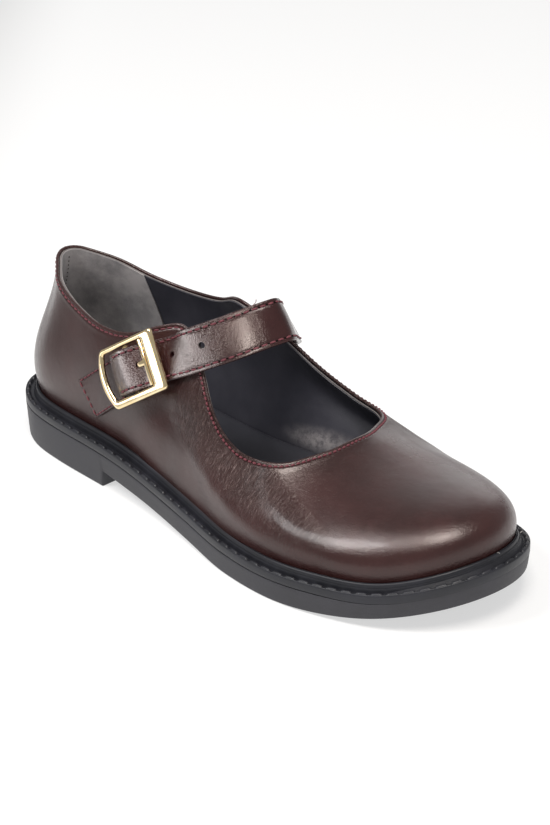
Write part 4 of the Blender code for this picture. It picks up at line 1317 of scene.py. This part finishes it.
# half of the frame's section: share of the way from the outer line to the opening, mm inwards
# from that line, and the level below the upper face, mm; the other half mirrors it
FRAME_HALF = ((0, 0.25, -1.8), (0, 0.0, -1.55), (0, 0.0, -1.0), (0, 0.06, -0.74), (0, 0.2, -0.46),
              (0, 0.38, -0.27), (0, 0.6, -0.15), (0, 0.78, -0.1), (0.3, 0.2, -0.04), (0.5, 0.0, -0.03))
FRAME_SECTION = FRAME_HALF + tuple((1 - line, -inset, level) for line, inset, level in FRAME_HALF[-2::-1])
SMALLEST_CORNER = 0.25
ARC_STEPS = 9
SIDE_STEPS = 14
# hook from the rod to its tip: place along the lead, level and width, mm
TONGUE = {
    "lead": (7.2, 6.3, 5.2, 4.4, 3.8, 3.4, 3.1, 2.9),
    "level": (-0.9, -0.65, -0.6, -0.65, -0.85, -1.2, -1.7, -2.6),
    "width": (2.5, 2.5, 2.5, 2.6, 2.6, 2.5, 2.2, 1.6),
}
TONGUE_FLATNESS = 0.7
HOOK_OFFSET = -1.4 * MM
ROD_RADIUS = 0.85 * MM
ROD_SHORT = 0.3
ROD_EDGE = 0.15


def gold(name, dull):
    """Pale gold plate over polished zinc, with faint buffing lines."""
    made, shader, place = finish(name, Metallic=1.0)
    haze = place.cloud(150, 4, 0.6)
    colour = haze.rise(0.35, 0.7).blend((0.90, 0.72, 0.42, 1), (0.96, 0.80, 0.52, 1))
    buffing = place.stretched((0, 0.6, 0), (300, 300, 2600)).cloud(1.0, 2)
    dress(shader, colour, haze * 0.08 + dull, (buffing, 0.006), (place.cloud(260, 2), 0.03))
    return made


polished_gold = gold("polished_gold", 0.09)


def rounded_line(rear, front, top, bottom, radius, bow):
    """Closed line of a rounded rectangle in lead and down, its rear side bowed outwards."""
    middle = (top + bottom) / 2
    arcs = []
    for lead, down, start in ((front, top, -90), (front, bottom, 0), (rear, bottom, 90), (rear, top, 180)):
        turns = np.radians(start + np.linspace(0, 90, ARC_STEPS))
        arc_lead = lead - math.copysign(radius, lead) + np.cos(turns) * radius
        arc_down = down - math.copysign(radius, down - middle) + np.sin(turns) * radius
        arcs.append(np.c_[arc_lead, arc_down])
    points = []
    for k, arc in enumerate(arcs):
        start, end = arc[-1], arcs[(k + 1) % 4][0]
        between = np.linspace(0, 1, SIDE_STEPS)[1:-1]
        points += list(arc) + [start + share * (end - start) for share in between]
    points = np.array(points)
    off_middle = (points[:, 1] - middle) / (bottom - middle)
    points[:, 0] -= bow * ramp(points[:, 0], front, rear) ** 4 * (1 - off_middle ** 2)
    return points


def build_frame():
    middle, lead, down, away = buckle_axes(BUCKLE_SLOPE)
    loops = []
    for line, inset, level in FRAME_SECTION:
        rear, front, top, bottom, corner, bow = (a + (b - a) * line for a, b in FRAME.values())
        flat = rounded_line(rear + inset, front - inset, top + inset, bottom - inset,
                            max(corner - inset, SMALLEST_CORNER), bow) * MM
        loops.append(middle + np.outer(flat[:, 0], lead) + np.outer(flat[:, 1], down) + away * level * MM)
    return np.vstack(loops), weave(len(loops), len(loops[0]), True, True)


buckle_frame = piece("gold_buckle_frame", *build_frame(), polished_gold, "gold_metal",
                     ("buckle_frame",), 80)


def build_tongue():
    """Cross rod between the frame's sides and the short hook that drops from it into the hole."""
    middle, lead, down, away = buckle_axes(BUCKLE_SLOPE)
    axis = middle + lead * TONGUE["lead"][0] * MM + away * TONGUE["level"][0] * MM
    circle = ring_of(lead, away, 24)
    first, last = FRAME["top"][1] + ROD_SHORT, FRAME["bottom"][1] - ROD_SHORT
    ends = ((first, 0.85), (first + ROD_EDGE, 1.0), (last - ROD_EDGE, 1.0), (last, 0.85))
    rod = np.array([axis + down * at * MM + circle * ROD_RADIUS * thick for at, thick in ends])
    path = np.array([TONGUE["lead"], TONGUE["level"]]).T * MM
    hook = []
    for (along, height), (run, climb), width in zip(path, headings(path), TONGUE["width"]):
        centre = middle + lead * along + away * height + down * HOOK_OFFSET
        up = away * run - lead * climb
        hook.append(centre + ring_of(down, up * TONGUE_FLATNESS, 24) * width * MM / 2)
    return gathered([rod, np.array(hook)])


piece("gold_buckle_tongue", *build_tongue(), polished_gold, "gold_metal", ("buckle_tongue",), 50)
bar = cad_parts["buckle_bar"]
bar.data.materials.clear()
bar.data.materials.append(gold("brushed_gold_bar", 0.2))


# Stand. White floor under broad soft lamps, small ones for the shine of one piece alone, which take
# the place of the studio's surroundings, and the camera where the photograph was taken from.

CAMERA_BACK = (45.39, 26.29)
CAMERA_DISTANCE = 0.8117
CAMERA_ROLL = math.radians(-1.0)
CAMERA_TARGET = np.array((0.0, 0.0, 0.030)) + SETTLE
PHOTO = (550, 825)
STRAP_MIDDLE = np.array((-0.010, -0.022, 0.070)) + SETTLE
FOCAL_PIXELS = 2000.0
CENTRE_PIXELS = (253.12, 436.23)
ROOM_GLOW = 0.36
FLOOR_REACH = 4.0
# where the floor is dark and where it is fully lit, x and y added up, m
FLOOR_SHADE = (-0.50, -0.17)

floor_mesh = bpy.data.meshes.new("floor")
floor_corners = [(x * FLOOR_REACH, y * FLOOR_REACH, 0) for x, y in ((-1, -1), (1, -1), (1, 1), (-1, 1))]
floor_mesh.from_pydata(floor_corners, [], [(0, 1, 2, 3)])
floor = placed("floor", floor_mesh)
floor_paint, floor_shader, floor_place = finish("white_floor", Roughness=0.9, Specular_IOR_Level=0.1,
                                                Emission_Strength=0.60)
shade = (floor_place.along(0) + floor_place.along(1)).rise(*FLOOR_SHADE)
for socket, dark, light in (("Base Color", 0.18, 0.42), ("Emission Color", 0.25, 1.0)):
    floor_paint.node_tree.links.new(
        shade.blend((dark, dark, dark, 1), (light, light, light, 1)).socket, floor_shader.inputs[socket])
floor_mesh.materials.append(floor_paint)

world = bpy.data.worlds.new("pale_room")
bpy.context.scene.world = world
world.use_nodes = True
room = world.node_tree.nodes["Background"]
room.inputs["Color"].default_value = (1.0, 1.0, 1.0, 1)
room.inputs["Strength"].default_value = ROOM_GLOW


def direction(azimuth, elevation):
    """Way from the shoe, at an azimuth round from its outer side to the toe and an elevation."""
    a, e = math.radians(azimuth), math.radians(elevation)
    return np.array((math.sin(a) * math.cos(e), -math.cos(a) * math.cos(e), math.sin(e)))


def lamp(name, azimuth, elevation, distance, size, power, tint=(1, 1, 1), only=()):
    """Soft rectangular lamp seen from the shoe in the given direction, for all or only some pieces."""
    light = bpy.data.lights.new(name, "AREA")
    light.shape = "RECTANGLE"
    light.size, light.size_y = size
    light.energy = power
    light.color = tint
    made = placed(name, light)
    back = direction(azimuth, elevation)
    aim = STRAP_MIDDLE if only else CAMERA_TARGET
    made.location = Vector(back * distance + aim)
    made.rotation_euler = Vector(back).to_track_quat("Z", "Y").to_euler()
    made.visible_camera = False
    if only:
        made.visible_diffuse = False
        lit = bpy.data.collections.new(name)
        for thing in only:
            lit.objects.link(thing)
        made.light_linking.receiver_collection = lit


lamp("left_softbox", -29, 53, 1.5, (0.42, 0.42), 9.6)
lamp("front_softbox", 50, 68, 1.5, (0.58, 0.74), 15, (1.0, 0.95, 0.90))
lamp("vamp_sheen", -30, 55, 1.5, (0.30, 0.30), 5.4, only=(upper,))
lamp("toe_sheen", 50, 71, 1.5, (0.30, 0.46), 5.2, (1.0, 0.94, 0.88), (upper,))
lamp("far_sheen", -150, 14, 1.5, (0.80, 0.60), 2.0, only=(upper,))
lamp("rear_glow", -138, 40, 1.5, (0.60, 0.60), 0.6)
lamp("strap_glow", -28, -3, 0.2, (0.30, 0.10), 0.95, only=(strap,))
lamp("strap_band_glow", 39, 22, 0.6, (0.080, 0.38), 1.9, (1.0, 0.93, 0.86), (strap,))
lamp("buckle_glow", -37, -5, 0.2, (0.060, 0.046), 0.030, only=(buckle_frame,))

back = direction(*CAMERA_BACK)
right = unit(np.cross(-back, (0.0, 0.0, 1.0)))
above = np.cross(right, -back)
camera_x, camera_y = turned(right, above, CAMERA_ROLL), turned(above, -right, CAMERA_ROLL)
camera_data = bpy.data.cameras.new("photo_camera")
camera = placed("photo_camera", camera_data)
stance = np.eye(4)
stance[:3] = np.c_[camera_x, camera_y, back, back * CAMERA_DISTANCE + CAMERA_TARGET]
camera.matrix_world = Matrix(stance.tolist())
camera_data.sensor_width = 36.0
camera_data.lens = FOCAL_PIXELS * camera_data.sensor_width / PHOTO[1]
camera_data.shift_x = (PHOTO[0] / 2 - CENTRE_PIXELS[0]) / PHOTO[1]
camera_data.shift_y = (CENTRE_PIXELS[1] - PHOTO[1] / 2) / PHOTO[1]
camera_data.clip_start, camera_data.clip_end = 0.01, 20
bpy.context.scene.camera = camera
bpy.context.scene.view_settings.view_transform = "Standard"
